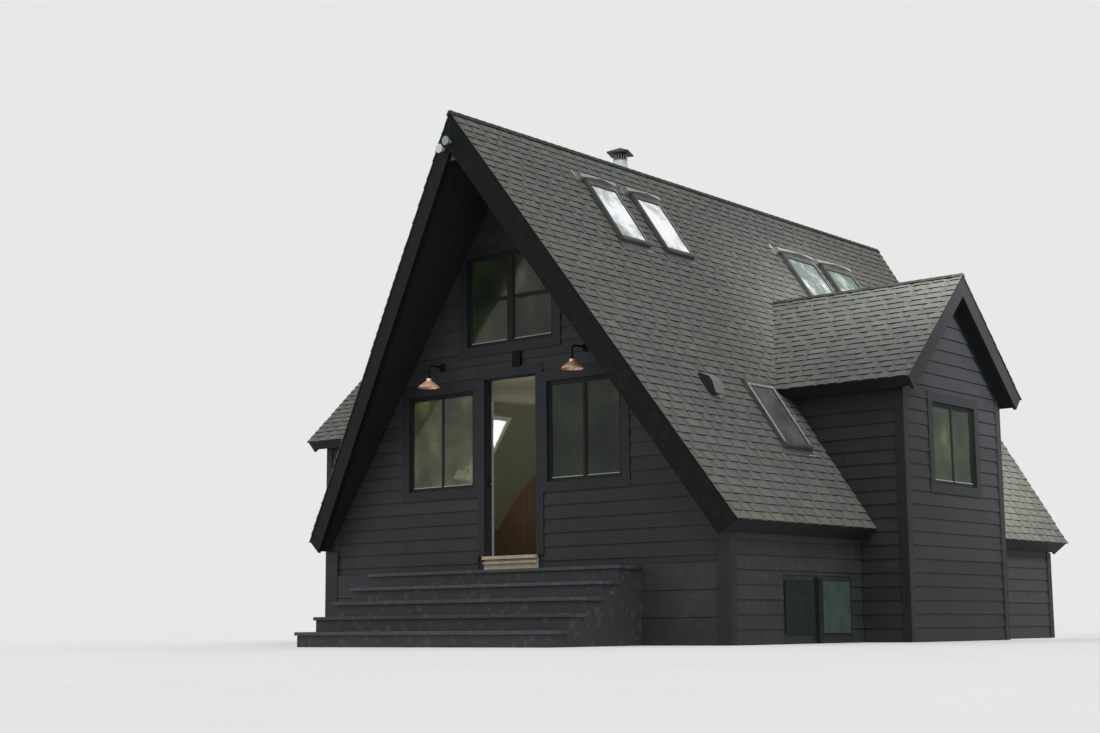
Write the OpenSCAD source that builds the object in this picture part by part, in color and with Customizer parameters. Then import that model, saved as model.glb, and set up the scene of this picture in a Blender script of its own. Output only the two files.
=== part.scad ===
// A-frame cabin with a prow-shaped front roof and a low cross wing.
// Millimetres. +Z is up, X runs across the front, Y runs back from the outer
// face of the front wall, and Z = 0 is the level base that the walls stand on.

/* [Main roof] */
// Height of the ridge above the base, at the top of the roof deck
ridge_h = 5950; // [5800:10:6100]
// Pitch of the two main slopes, in degrees
roof_pitch = 55.8; // [54.5:0.1:57]
// Thickness of the main roof, square to the slope
roof_t = 220; // [180:5:240]
// Height of the eave's outer edge above the base
eave_h = 1270; // [1250:5:1290]
// How far the roof reaches past the gable walls at the ridge
apex_over = 1010; // [800:10:1200]
// How far it reaches past them at the eaves
eave_over = 172; // [120:2:240]
// Thickness of the boards that line the rooms under the slopes
lining_t = 22; // [15:1:30]

/* [House] */
// Distance between the outer faces of the front and back walls
house_len = 7620; // [7400:10:7800]
// Half of the width over the base walls
base_half = 2970; // [2940:10:2990]
// Height of the ground floor and the door sill above the base
floor_h = 1000; // [950:10:1050]
// Thickness of the floors
floor_t = 150; // [120:5:180]
// Thickness of the framed walls
wall_t = 140; // [110:5:150]
// Height of the loft floor's underside above the ground floor
loft_clear = 2060; // [2055:5:2160]

/* [Cross wing] */
// Height of the wing's ridge above the base
wing_ridge_h = 4290; // [4200:10:4350]
// Pitch of the wing's slopes, in degrees
wing_pitch = 43.5; // [42:0.5:45]
// Thickness of the wing's roof, square to the slope
wing_roof_t = 150; // [120:5:170]
// Half of the width over the wing's walls
wing_half = 1200; // [1150:10:1250]
// Half of the width over the wing's eaves
wing_eave_half = 1430; // [1400:10:1480]
// Distance from the centre line to the right wing's rake
wing_right = 3780; // [3700:10:3900]
// Distance from the centre line to the left wing's rake
wing_left = 6100; // [5900:10:6300]
// How far the wing's roof reaches past its gable walls
wing_over = 210; // [150:10:250]

/* [Doorway] */
// Clear width of the doorway between its jambs
door_w = 762; // [740:2:800]
// Clear height of the doorway above the sill
door_h = 2032; // [2000:2:2050]
// Thickness of the jambs
jamb_t = 20; // [16:1:25]
// Thickness of the door leaf
leaf_t = 44; // [35:1:50]
// Gap between the leaf and the frame
leaf_gap = 7; // [7:0.5:9]
// How far the leaf stands open, in degrees
door_open = 90; // [0:2:130]
// Width of the boards round the doorway
casing_w = 95; // [80:5:105]

/* [Windows] */
// Inner edge of the side windows' openings, from the centre line
side_win_in = 555; // [540:5:570]
// Width of the side windows' openings
side_win_w = 1050; // [1000:10:1060]
// Height of their sills above the floor
side_win_sill = 795; // [780:5:850]
// Height of their openings
side_win_h = 1135; // [1100:5:1150]
// Half of the width of the upper window's opening
upper_win_half = 655; // [640:5:670]
// Height of its sill above the ground floor
upper_win_sill = 2435; // [2400:5:2450]
// Height of its opening
upper_win_h = 1075; // [1040:5:1100]
// Face width of the window frames
frame_w = 40; // [36:1:60]
// Depth of the window frames
frame_d = 80; // [70:5:90]
// Thickness of the window glass
glass_t = 6; // [5:1:10]
// Width of the boards round the windows
trim_w = 110; // [90:5:120]
// Thickness of the boards round windows and doorway
trim_t = 24; // [18:1:30]

/* [Steps] */
// Half of the width of the flight
steps_half = 1850; // [1600:10:2000]
// Depth of the top landing
landing_d = 420; // [380:10:500]
// Going of each tread
going = 280; // [260:5:300]
// Thickness of the treads
tread_t = 38; // [30:1:45]
// How far each tread reaches past its riser
nosing = 25; // [15:1:35]
// Thickness of the risers and cheeks
board_t = 22; // [18:1:30]

/* [Skylights] */
// Length of the skylights down the slope
sky_len = 975; // [945:5:1000]
// Width of the front pairs and the low ones
sky_w = 550; // [520:5:580]
// Width of the rear pairs
sky_rear_w = 790; // [760:10:820]
// Height of a skylight's kerb above the roof deck
kerb_h = 62; // [55:1:75]
// Width of the kerb's boards
kerb_w = 36; // [30:2:60]

/* [Fittings] */
// Radius of the flue pipe
flue_r = 95; // [75:1:100]
// Radius of a wall lamp's shade at its rim
shade_r = 128; // [110:2:140]
// Distance of the left wall lamp from the centre line
lamp_left = 1060; // [1000:5:1120]
// Distance of the right wall lamp from the centre line
lamp_right = 1120; // [1050:5:1160]
// Radius of the two round lights at the peak
flood_r = 52; // [45:1:58]

/* [Hidden] */
$fn = 48;
eps = 1;
tp = tan(roof_pitch);
cp = cos(roof_pitch);
sp = sin(roof_pitch);
tw = tan(wing_pitch);
cw = cos(wing_pitch);
sw = sin(wing_pitch);
mid_y = house_len / 2;
eave_x = (ridge_h - eave_h) / tp;
wing_eave_h = wing_ridge_h - tw * wing_eave_half;
barge_t = 38;
barge_w = 258;
rough_half = door_w / 2 + jamb_t;
door_head = floor_h + door_h + jamb_t;
plate_h = floor_h - floor_t;
riser = floor_h / 6;
step_count = 5;
knob_h = 870;
stop_d = 88;
leaf_rebate = 8;
skirt_out = 20;
foundation_t = 150;
bearing = 15;
pin_out = 8;
front_sky_s = 590;
rear_sky_s = 905;
front_sky_y = [1215, 2115];
rear_sky_y = [5370, 6400];
low_sky = [[3620, 1940], [3545, 1725]];
hood_front = 12;
hood_back = 150;
hood_side = 65;
hood_low = 70;
hood_peak = 113;
hood_flange = 35;
flange_t = 3;
glass_drop = 25;
pane_t = 18;
hinge_x = -door_w / 2 - leaf_rebate + leaf_gap;
hinge_y = wall_t + pin_out;
leaf_w = door_w + 2 * leaf_rebate - 2 * leaf_gap;
leaf_h = door_h + leaf_rebate - 2 * leaf_gap;
stile_w = 110;
panel_sink = 8;
backset = 65;
knob_r = 27;
knob_out = 62;
hinge_r = 6;
hinge_len = 90;
hinge_plate_t = 2.5;
hinge_plate_w = 36;
knuckle_gap = 0.5;
hinge_heights = [230, 1010, 1790];
sill_out = 60;
sill_t = 36;
sill_board_h = 90;
sill_lip = 28;
cap_t = 22;
cap_w = 52;
beam_half = 80;
beam_z = ridge_h - 550;
loft_t = 150;
panel_h = 560;
panel_z = 110;
panel_t = 20;
wing_barge_w = 190;
wing_win_w = 1050;
wing_win_h = 950;
mullion_w = 20;
post_w = 42;
upper_mullion_w = 96;
muntin_w = 30;
frame_set = 2;
glass_set = 16;
rebate_w = 14;
rebate_d = 7;
flue_x = -500;
flue_y = 2770;
flue_top = ridge_h + 300;
flue_foot = ridge_h - 1120;
flue_cap_gap = 95;
flue_cap_r = 205;
flue_cap_t = 12;
flue_cap_h = 75;
flue_cap_turn = -22;
collar_r = 178;
collar_z = ridge_h - 550;
screen_set = 20;
vent_s = 3630;
vent_y = 880;
vent_w = 185;
vent_flange = 45;
lamp_z = 2255;
arm_r = 11;
arm_reach = 250;
arm_bend = 60;
shade_z = 1990;
shade_top = 116;
light_d = 45;
fit = 0.2;

// X of a main slope at height z, at a depth t under its top face
function slope_x(z, t = 0) = (ridge_h - t / cp - z) / tp;

// Y of the prow line at distance x from the centre line
function prow_y(x) = -apex_over + (apex_over - eave_over) * abs(x) / eave_x;

// Extrudes an X-Z outline between two Y planes
module along_y(y0, y1) translate([0, y1, 0]) rotate([90, 0, 0]) linear_extrude(y1 - y0) children();

// Extrudes a Y-Z outline between two X planes
module along_x(x0, x1) translate([x0, 0, 0]) rotate([90, 0, 90]) linear_extrude(x1 - x0) children();

// Mirrors its children to the left of the centre line
module to_left() mirror([1, 0, 0]) children();

// Places its children at both sides of the centre line
module both_sides() {
    children();
    to_left() children();
}

// Local axes on the right slope: X down the slope, Z out of it
module on_slope(s, y) translate([s * cp, y, ridge_h - s * sp]) rotate([0, roof_pitch, 0]) children();

// X-Z outline of the right slope between two depths, square-cut at the eave
module slope_profile(t0, t1) polygon([
    [0, ridge_h - t0 / cp], [eave_x - t0 * sp, eave_h - t0 * cp],
    [eave_x - t1 * sp, eave_h - t1 * cp], [0, ridge_h - t1 / cp]
]);

// X-Z outline of everything under the slopes' depth t, between the base walls
module room_profile(t, half = base_half, z0 = 0) intersection() {
    polygon([[-slope_x(0, t), 0], [slope_x(0, t), 0], [0, ridge_h - t / cp]]);
    translate([-half, z0]) square([2 * half, ridge_h]);
}

// Plan of the main roof, its prow edges moved in by an inset
module roof_plan(inset) polygon([
    [0, -apex_over + inset], [eave_x + eps, prow_y(eave_x + eps) + inset],
    [eave_x + eps, house_len - prow_y(eave_x + eps) - inset], [0, house_len + apex_over - inset],
    [-eave_x - eps, house_len - prow_y(eave_x + eps) - inset], [-eave_x - eps, prow_y(eave_x + eps) + inset]
]);

// Y-Z outline of the wing's hole in the main roof: its walls and its slopes' top faces
module wing_outline() polygon([
    [mid_y - wing_half, 0], [mid_y + wing_half, 0],
    [mid_y + wing_half, wing_ridge_h - tw * wing_half], [mid_y, wing_ridge_h],
    [mid_y - wing_half, wing_ridge_h - tw * wing_half]
]);

// Y-Z outline of one wing slope between two depths, towards -Y
module wing_slope_profile(t0, t1) polygon([
    [mid_y, wing_ridge_h - t0 / cw],
    [mid_y - wing_eave_half + t0 * sw, wing_eave_h - t0 * cw],
    [mid_y - wing_eave_half + t1 * sw, wing_eave_h - t1 * cw],
    [mid_y, wing_ridge_h - t1 / cw]
]);

// Mirrors its children across the wing's centre plane
module to_back() translate([0, house_len, 0]) mirror([0, 1, 0]) children();

// Calls its children at the head of each skylight of a slope, with its width in $sky
module each_upper_skylight() {
    for (y = front_sky_y) on_slope(front_sky_s, y) let($sky = sky_w) children();
    for (y = rear_sky_y) on_slope(rear_sky_s, y) let($sky = sky_rear_w) children();
}
module each_skylight(left) {
    each_upper_skylight() children();
    on_slope(low_sky[left][0], low_sky[left][1]) let($sky = sky_w) children();
}

// The shafts that the skylights' kerbs stand round
module sky_shafts(left, t0, t1) each_skylight(left)
    translate([kerb_w, -$sky / 2 + kerb_w, -t1])
        cube([sky_len - 2 * kerb_w, $sky - 2 * kerb_w, t1 - t0]);

// One main slope before any hole is cut
module slope_body() intersection() {
    along_y(-apex_over, house_len + apex_over) slope_profile(0, roof_t);
    linear_extrude(ridge_h) roof_plan(barge_t + fit);
}

// A main slope, drawn on the right: left is 1 for the left slope's own low skylight
module roof_slope(left) difference() {
    slope_body();
    along_x(0, wing_left) wing_outline();
    sky_shafts(left, -eps, roof_t + 60);
}

module ceiling_slope(left) difference() {
    intersection() {
        along_y(wall_t, house_len - wall_t) slope_profile(roof_t + fit, roof_t + lining_t);
        translate([0, 0, floor_h]) cube([base_half - foundation_t, house_len, ridge_h]);
    }
    along_x(0, wing_left) wing_outline();
    sky_shafts(left, -eps, roof_t + 60);
}

// Both boards of one prow, joined at the peak
module prow_boards() intersection() {
    along_y(-apex_over, mid_y) union() {
        slope_profile(0, barge_w);
        mirror([1, 0]) slope_profile(0, barge_w);
    }
    linear_extrude(ridge_h) difference() {
        roof_plan(0);
        roof_plan(barge_t);
    }
}

module roof_left() color("dimgray") to_left() roof_slope(1);
module roof_right() color("dimgray") roof_slope(0);
module ceiling_left() color("beige") to_left() ceiling_slope(1);
module ceiling_right() color("beige") ceiling_slope(0);
module barge_boards() color("darkslategray") {
    prow_boards();
    to_back() prow_boards();
}

// Outline of a folded cap across a ridge, its origin at the top of the deck
module cap_outline(pitch) polygon([
    [0, (cap_t + fit) / cos(pitch)],
    [cap_w * cos(pitch) + (cap_t + fit) * sin(pitch), (cap_t + fit) * cos(pitch) - cap_w * sin(pitch)],
    [cap_w * cos(pitch) + fit * sin(pitch), fit * cos(pitch) - cap_w * sin(pitch)],
    [0, fit / cos(pitch)],
    [-cap_w * cos(pitch) - fit * sin(pitch), fit * cos(pitch) - cap_w * sin(pitch)],
    [-cap_w * cos(pitch) - (cap_t + fit) * sin(pitch), (cap_t + fit) * cos(pitch) - cap_w * sin(pitch)]
]);
module ridge_caps() color("gray") {
    along_y(-apex_over, house_len + apex_over) translate([0, ridge_h]) cap_outline(roof_pitch);
    wing_cap(wing_right);
    to_left() wing_cap(wing_left);
}
module wing_cap(reach) difference() {
    along_x(0, reach) translate([mid_y, wing_ridge_h]) cap_outline(wing_pitch);
    along_y(-apex_over, house_len + apex_over) room_profile(-fit, ridge_h);
}

// Stub of beam that carries the ridge of each prow, from the gable to the barge boards
module ridge_beam() along_y(prow_y(beam_half) + barge_t + fit, 0)
    room_profile(roof_t + fit, beam_half, beam_z);
module ridge_beams() color("darkslategray") {
    ridge_beam();
    to_back() ridge_beam();
}

// Base walls
module gable_foundation() translate([-base_half + foundation_t, -skirt_out, 0])
    cube([2 * (base_half - foundation_t), skirt_out + wall_t + bearing, plate_h]);
module front_foundation() color("dimgray") gable_foundation();
module back_foundation() color("dimgray") to_back() gable_foundation();

// A low wall under one eave, with the way into the wing cut down to the floor
module base_wall() difference() {
    along_y(-skirt_out, house_len + skirt_out) intersection() {
        room_profile(roof_t);
        translate([base_half - foundation_t, 0]) square([foundation_t, ridge_h]);
    }
    translate([0, mid_y - wing_half + wall_t, plate_h]) cube([wing_left, 2 * (wing_half - wall_t), ridge_h]);
}
module base_walls() color("dimgray") both_sides() base_wall();

// Crawl-space panels and the post between them, on the right base wall
module crawl_panels() color("lightgray") translate([base_half, 0, 0]) {
    translate([0, 980, panel_z]) cube([panel_t, 590, panel_h]);
    translate([0, 1600, 0]) cube([50, 90, 700]);
    translate([0, 1720, panel_z]) cube([panel_t, 590, panel_h]);
}

// Floors
module main_floor() color("tan") translate([0, 0, plate_h]) difference() {
    translate([-base_half + foundation_t, 0, 0]) cube([2 * (base_half - foundation_t), house_len, floor_t]);
    translate([-base_half, -eps, -eps]) cube([2 * base_half, wall_t + eps, floor_t + 2 * eps]);
    translate([-base_half, house_len - wall_t, -eps]) cube([2 * base_half, wall_t + eps, floor_t + 2 * eps]);
}
module wing_floors() color("tan") {
    wing_floor(wing_right);
    to_left() wing_floor(wing_left);
}
module wing_floor(reach) translate([base_half - foundation_t, mid_y - wing_half + wall_t, plate_h])
    cube([reach - wing_over - wall_t - base_half + foundation_t, 2 * (wing_half - wall_t), floor_t]);

// The front loft and the back loft, open to the rooms between them
module loft_floor() along_y(wall_t, mid_y - wing_half) intersection() {
    room_profile(roof_t + lining_t);
    translate([-base_half, floor_h + loft_clear]) square([2 * base_half, loft_t]);
}
module loft_floors() color("tan") {
    loft_floor();
    to_back() loft_floor();
}

// Gable walls
module side_window_hole(y0, y1) both_sides()
    translate([side_win_in, y0, floor_h + side_win_sill]) cube([side_win_w, y1 - y0, side_win_h]);
module upper_window_hole(y0, y1) translate([-upper_win_half, y0, floor_h + upper_win_sill])
    cube([2 * upper_win_half, y1 - y0, upper_win_h]);
module gable_slab() difference() {
    along_y(0, wall_t) room_profile(roof_t, base_half - foundation_t, plate_h);
    side_window_hole(-eps, wall_t + eps);
    upper_window_hole(-eps, wall_t + eps);
}
module front_wall_right() color("darkslategray") intersection() {
    gable_slab();
    translate([rough_half, -eps, 0]) cube([base_half, wall_t + 2 * eps, door_head]);
}
module front_wall_left() color("darkslategray") intersection() {
    gable_slab();
    translate([-rough_half - base_half, -eps, 0]) cube([base_half, wall_t + 2 * eps, door_head]);
}
module front_gable() color("darkslategray") intersection() {
    gable_slab();
    translate([-base_half, -eps, door_head]) cube([2 * base_half, wall_t + 2 * eps, ridge_h]);
}
module back_wall() color("darkslategray") to_back() gable_slab();

// Wing roofs: outside the main slopes, and through them between the wing's walls
module wing_roof(reach) difference() {
    along_x(0, reach - barge_t) wing_slope_profile(0, wing_roof_t);
    along_y(-apex_over, house_len + apex_over) room_profile(roof_t, ridge_h);
    difference() {
        along_y(-apex_over, house_len + apex_over) room_profile(0, ridge_h);
        along_x(-eps, wing_left) wing_outline();
    }
}
module wing_roofs_front() color("dimgray") {
    wing_roof(wing_right);
    to_left() wing_roof(wing_left);
}
module wing_roofs_back() color("dimgray") to_back() {
    wing_roof(wing_right);
    to_left() wing_roof(wing_left);
}

module wing_barge(reach) along_x(reach - barge_t, reach) {
    wing_slope_profile(0, wing_barge_w);
    translate([house_len, 0]) mirror([1, 0]) wing_slope_profile(0, wing_barge_w);
}
module wing_barge_boards() color("darkslategray") {
    wing_barge(wing_right);
    to_left() wing_barge(wing_left);
}

// Wing walls
module under_wing_roof() difference() {
    children();
    along_x(-eps, wing_left) {
        wing_slope_profile(-ridge_h, wing_roof_t);
        translate([house_len, 0]) mirror([1, 0]) wing_slope_profile(-ridge_h, wing_roof_t);
    }
}
module wing_front_wall(reach, windowed) difference() {
    under_wing_roof() translate([0, mid_y - wing_half, 0])
        cube([reach - wing_over, wall_t, wing_ridge_h]);
    for (z = [-eps, 0]) translate([0, 0, z]) along_y(0, house_len) room_profile(roof_t);
    if (windowed) wing_side_hole(reach, -eps, wall_t + eps);
}
function wing_mid(reach) = (reach - wing_over + base_half) / 2;
module wing_side_hole(reach, y0, y1)
    translate([wing_mid(reach) - wing_win_w / 2, mid_y - wing_half + y0, floor_h + side_win_sill])
        cube([wing_win_w, y1 - y0, wing_win_h]);
module wing_end(reach) difference() {
    under_wing_roof() translate([reach - wing_over - wall_t, mid_y - wing_half + wall_t, 0])
        cube([wall_t, 2 * (wing_half - wall_t), wing_ridge_h]);
    wing_gable_hole(reach, -eps, wall_t + eps);
}
module wing_gable_hole(reach, x0, x1)
    translate([reach - wing_over - wall_t + x0, mid_y - wing_win_w / 2, floor_h + side_win_sill])
        cube([x1 - x0, wing_win_w, wing_win_h]);
module wing_side_walls() color("darkslategray") {
    wing_front_wall(wing_right, false);
    to_left() wing_front_wall(wing_left, true);
    to_back() {
        wing_front_wall(wing_right, false);
        to_left() wing_front_wall(wing_left, false);
    }
}
module wing_gables() color("darkslategray") {
    wing_end(wing_right);
    to_left() wing_end(wing_left);
}

// Windows: local X across, Z up, Y = 0 at the wall's outer face and +Y inwards
module window_frame(w, h, mullion, muntin = 0) translate([0, frame_set, 0]) difference() {
    cube([w, frame_d, h]);
    window_rebate(w, h, mullion);
    for (i = [0, 1]) translate([frame_w + i * ((w - 2 * frame_w + mullion) / 2), -eps, frame_w]) {
        pane_w = (w - 2 * frame_w - mullion) / 2;
        pane_h = h - 2 * frame_w;
        if (muntin > 0) {
            for (j = [0, 1]) translate([0, 0, j * (pane_h + muntin) / 2])
                cube([pane_w, frame_d + 2 * eps, (pane_h - muntin) / 2]);
        } else cube([pane_w, frame_d + 2 * eps, pane_h]);
    }
}
// Step in the frame's outer face that sets the sashes back, one for each side of a wide post
module window_rebate(w, h, mullion) {
    parts = mullion > frame_w ? 2 : 1;
    edge = frame_w - rebate_w;
    step_w = (w - 2 * edge - (parts - 1) * (mullion - 2 * rebate_w)) / parts;
    for (i = [0:parts - 1]) translate([edge + i * (step_w + mullion - 2 * rebate_w), -eps, edge])
        cube([step_w, rebate_d + eps, h - 2 * edge]);
}
module window_panes(w, h, mullion) for (i = [0, 1])
    translate([frame_w + i * ((w - 2 * frame_w + mullion) / 2), frame_set + glass_set, frame_w])
        cube([(w - 2 * frame_w - mullion) / 2, glass_t, h - 2 * frame_w]);
module window_border(w, h) translate([0, -trim_t, 0]) difference() {
    translate([-trim_w, 0, -trim_w]) cube([w + 2 * trim_w, trim_t, h + 2 * trim_w]);
    translate([0, -eps, 0]) cube([w, trim_t + 2 * eps, h]);
}

// Calls its children in the local axes of each window, with $w, $h, $mullion and $muntin set
module each_window() {
    gable_windows() children();
    to_back() gable_windows() children();
    wing_windows() children();
}
module wing_windows() {
    translate([wing_right - wing_over, mid_y - wing_win_w / 2, floor_h + side_win_sill])
        rotate([0, 0, 90]) wing_light() children();
    translate([-wing_left + wing_over, mid_y + wing_win_w / 2, floor_h + side_win_sill])
        rotate([0, 0, -90]) wing_light() children();
    left_wing_window() children();
}
module side_light(mullion) let($w = side_win_w, $h = side_win_h, $mullion = mullion, $muntin = 0)
    children();
module wing_light() let($w = wing_win_w, $h = wing_win_h, $mullion = mullion_w, $muntin = 0) children();
module left_wing_window()
    translate([-wing_mid(wing_left) - wing_win_w / 2, mid_y - wing_half, floor_h + side_win_sill])
        wing_light() children();
module gable_windows() {
    translate([side_win_in, 0, floor_h + side_win_sill]) side_light(post_w) children();
    translate([-side_win_in - side_win_w, 0, floor_h + side_win_sill]) side_light(mullion_w) children();
    translate([-upper_win_half, 0, floor_h + upper_win_sill])
        let($w = 2 * upper_win_half, $h = upper_win_h, $mullion = upper_mullion_w, $muntin = muntin_w)
            children();
}
module window_frames() color("black") each_window() window_frame($w, $h, $mullion, $muntin);
module window_glass() color("lightblue") each_window()
    if ($muntin == 0) window_panes($w, $h, $mullion);
    else for (j = [0, 1]) translate([0, 0, j * (($h - 2 * frame_w + $muntin) / 2)])
        window_panes($w, ($h - 2 * frame_w - $muntin) / 2 + 2 * frame_w, $mullion);
module window_trim() color("darkslategray") {
    difference() {
        gable_trim();
        translate([-rough_half - casing_w, -trim_t - eps, 0])
            cube([2 * (rough_half + casing_w), trim_t + 2 * eps, door_head + casing_w]);
    }
    to_back() gable_trim();
    wing_windows() window_border($w, $h);
}
module gable_trim() intersection() {
    gable_windows() window_border($w, $h);
    along_y(-trim_t - eps, eps) room_profile(roof_t);
}

// Doorway: a frame rebated on its inner side, where the leaf closes against it
module door_frame() color("black") difference() {
    translate([-rough_half, 0, floor_h]) cube([2 * rough_half, wall_t, door_h + jamb_t]);
    translate([-door_w / 2, -eps, floor_h - eps]) cube([door_w, wall_t + 2 * eps, door_h + eps]);
    translate([-door_w / 2 - leaf_rebate, stop_d, floor_h - eps])
        cube([door_w + 2 * leaf_rebate, wall_t, door_h + leaf_rebate + eps]);
    to_right_jamb() each_hinge() jamb_plate(eps);
}
module door_casing() color("darkslategray") translate([0, -trim_t, floor_h]) difference() {
    translate([-rough_half - casing_w, 0, 0])
        cube([2 * (rough_half + casing_w), trim_t, door_h + jamb_t + casing_w]);
    translate([-door_w / 2 - jamb_t / 2, -eps, -eps])
        cube([door_w + jamb_t, trim_t + 2 * eps, door_h + jamb_t / 2 + eps]);
}
module door_sill() color("burlywood") translate([-rough_half, 0, plate_h]) {
    cube([2 * rough_half, wall_t, floor_t]);
    translate([0, -sill_out, floor_t - sill_t]) cube([2 * rough_half, sill_out + eps, sill_t]);
    translate([0, -skirt_out, fit]) cube([2 * rough_half, skirt_out + eps, sill_board_h]);
    translate([0, -skirt_out - board_t, fit + sill_board_h - sill_lip])
        cube([2 * rough_half, skirt_out + board_t + eps, sill_lip]);
}

// The leaf's parts are drawn closed and hung on the left jamb, then mirrored to the right one
module to_right_jamb() mirror([1, 0, 0]) children();
module swung() to_right_jamb() translate([hinge_x, hinge_y, 0]) rotate([0, 0, door_open])
    translate([-hinge_x, -hinge_y, 0]) children();
module door_leaf() color("dimgray") swung() difference() {
    translate([hinge_x, wall_t - leaf_t, floor_h + leaf_gap]) cube([leaf_w, leaf_t, leaf_h]);
    for (y = [wall_t - leaf_t - eps, wall_t - panel_sink]) {
        leaf_panel(y, stile_w + 10, knob_h - 140);
        leaf_panel(y, knob_h + 80, leaf_h - stile_w);
    }
    each_hinge() leaf_plate(eps);
}
module leaf_panel(y, z0, z1) translate([hinge_x + stile_w, y, floor_h + z0])
    cube([leaf_w - 2 * stile_w, panel_sink + eps, z1 - z0]);

module knob() rotate([90, 0, 0]) rotate_extrude() polygon([
    [0, 0], [34, 0], [34, 6], [12, 9], [10, 30], [knob_r, 40], [knob_r, 54], [18, knob_out], [0, knob_out]
]);
module door_knobs() color("silver") swung()
    translate([hinge_x + leaf_w - backset, wall_t, floor_h + knob_h]) {
        translate([0, -leaf_t, 0]) knob();
        mirror([0, 1, 0]) knob();
    }

// Butt hinges: the leaf carries the middle knuckle, the jamb the outer two
module each_hinge() for (z = hinge_heights) translate([hinge_x, hinge_y, floor_h + z]) children();
module leaf_plate(over = 0) translate([-over, -pin_out - hinge_plate_w, -hinge_len / 2])
    cube([hinge_plate_t + over, hinge_plate_w + over, hinge_len]);
module jamb_plate(over = 0) translate([-leaf_gap - hinge_plate_t, -pin_out - hinge_plate_w, -hinge_len / 2])
    cube([hinge_plate_t + over, hinge_plate_w + over, hinge_len]);
module knuckle(z0, z1) translate([0, 0, z0 + knuckle_gap])
    cylinder(r = hinge_r, h = z1 - z0 - 2 * knuckle_gap);
module door_hinges() color("silver") swung() each_hinge() {
    leaf_plate();
    knuckle(-hinge_len / 6, hinge_len / 6);
    translate([0, -pin_out - eps, knuckle_gap - hinge_len / 6])
        cube([hinge_plate_t, pin_out + eps, hinge_len / 3 - 2 * knuckle_gap]);
}
module frame_hinges() color("silver") to_right_jamb() each_hinge() {
    jamb_plate();
    for (z = [-hinge_len / 2, hinge_len / 6]) {
        knuckle(z, z + hinge_len / 3);
        translate([-leaf_gap - hinge_plate_t, -pin_out - eps, z + knuckle_gap])
            cube([hinge_plate_t, pin_out + eps + hinge_r, hinge_len / 3 - 2 * knuckle_gap]);
        translate([-leaf_gap - hinge_plate_t, hinge_r - hinge_plate_t, z + knuckle_gap])
            cube([leaf_gap + hinge_plate_t, hinge_plate_t, hinge_len / 3 - 2 * knuckle_gap]);
    }
}

// Entry steps: treads on full-height risers, closed at both ends by boards between the risers
function step_y(i) = -landing_d - i * going;
function step_z(i) = floor_h - (i + 1) * riser;
module step_treads() color("dimgray") for (i = [0:step_count - 1]) {
    back = i == 0 ? -skirt_out : step_y(i - 1);
    translate([-steps_half - nosing, step_y(i) - nosing, step_z(i) - tread_t])
        cube([2 * (steps_half + nosing), back - step_y(i) + nosing, tread_t]);
}
module step_risers() color("dimgray") for (i = [0:step_count - 1])
    translate([-steps_half, step_y(i), 0]) cube([2 * steps_half, board_t, step_z(i) - tread_t]);
module step_cheeks() color("dimgray") both_sides() for (i = [0:step_count - 1]) {
    back = i == 0 ? -skirt_out : step_y(i - 1);
    translate([steps_half - board_t, step_y(i) + board_t, 0])
        cube([board_t, back - step_y(i) - board_t, step_z(i) - tread_t]);
}

// Skylights
module kerbs(left) each_skylight(left) difference() {
    translate([0, -$sky / 2, fit]) cube([sky_len, $sky, kerb_h - fit]);
    translate([kerb_w, -$sky / 2 + kerb_w, -eps])
        cube([sky_len - 2 * kerb_w, $sky - 2 * kerb_w, kerb_h + 2 * eps]);
}
module panes(left) each_skylight(left)
    translate([kerb_w, -$sky / 2 + kerb_w, kerb_h - glass_drop])
        cube([sky_len - 2 * kerb_w, $sky - 2 * kerb_w, pane_t]);
module skylight_frames() color("dimgray") {
    kerbs(0);
    to_left() kerbs(1);
}
module skylight_glass() color("lightblue") {
    panes(0);
    to_left() panes(1);
}

// Gabled sheet-metal hood against the head of each upper skylight, on a flange
module hood(half) intersection() {
    along_y(-half, half) polygon([
        [-hood_back, fit], [-hood_front, fit], [-hood_front, hood_peak], [-hood_front - 16, hood_peak],
        [-hood_back, 12]
    ]);
    along_x(-hood_back, 0) polygon([
        [-half, 0], [half, 0], [half, hood_low], [0, hood_peak], [-half, hood_low]
    ]);
}
module skylight_hoods() color("silver") both_sides() each_upper_skylight() {
    half = $sky / 2 + hood_side;
    hood(half);
    translate([-hood_back - hood_flange, -half - hood_flange, fit])
        cube([hood_back + hood_flange - hood_front, 2 * (half + hood_flange), flange_t]);
}

// Flue on the left slope, with a flared foot and a four-sided cap on a spark screen
module flue() color("gray") difference() {
    translate([flue_x, flue_y, 0]) {
        rotate_extrude() polygon([
            [0, flue_foot], [collar_r, flue_foot], [flue_r + 3, collar_z], [flue_r, collar_z],
            [flue_r, flue_top], [flue_r - screen_set, flue_top],
            [flue_r - screen_set, flue_top + flue_cap_gap], [0, flue_top + flue_cap_gap]
        ]);
        translate([0, 0, flue_top + flue_cap_gap]) rotate([0, 0, flue_cap_turn]) {
            cylinder(r = flue_cap_r, h = flue_cap_t, $fn = 4);
            translate([0, 0, flue_cap_t]) cylinder(r1 = flue_cap_r, r2 = 12, h = flue_cap_h, $fn = 4);
        }
    }
    along_y(0, house_len) room_profile(-fit, ridge_h);
}

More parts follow.
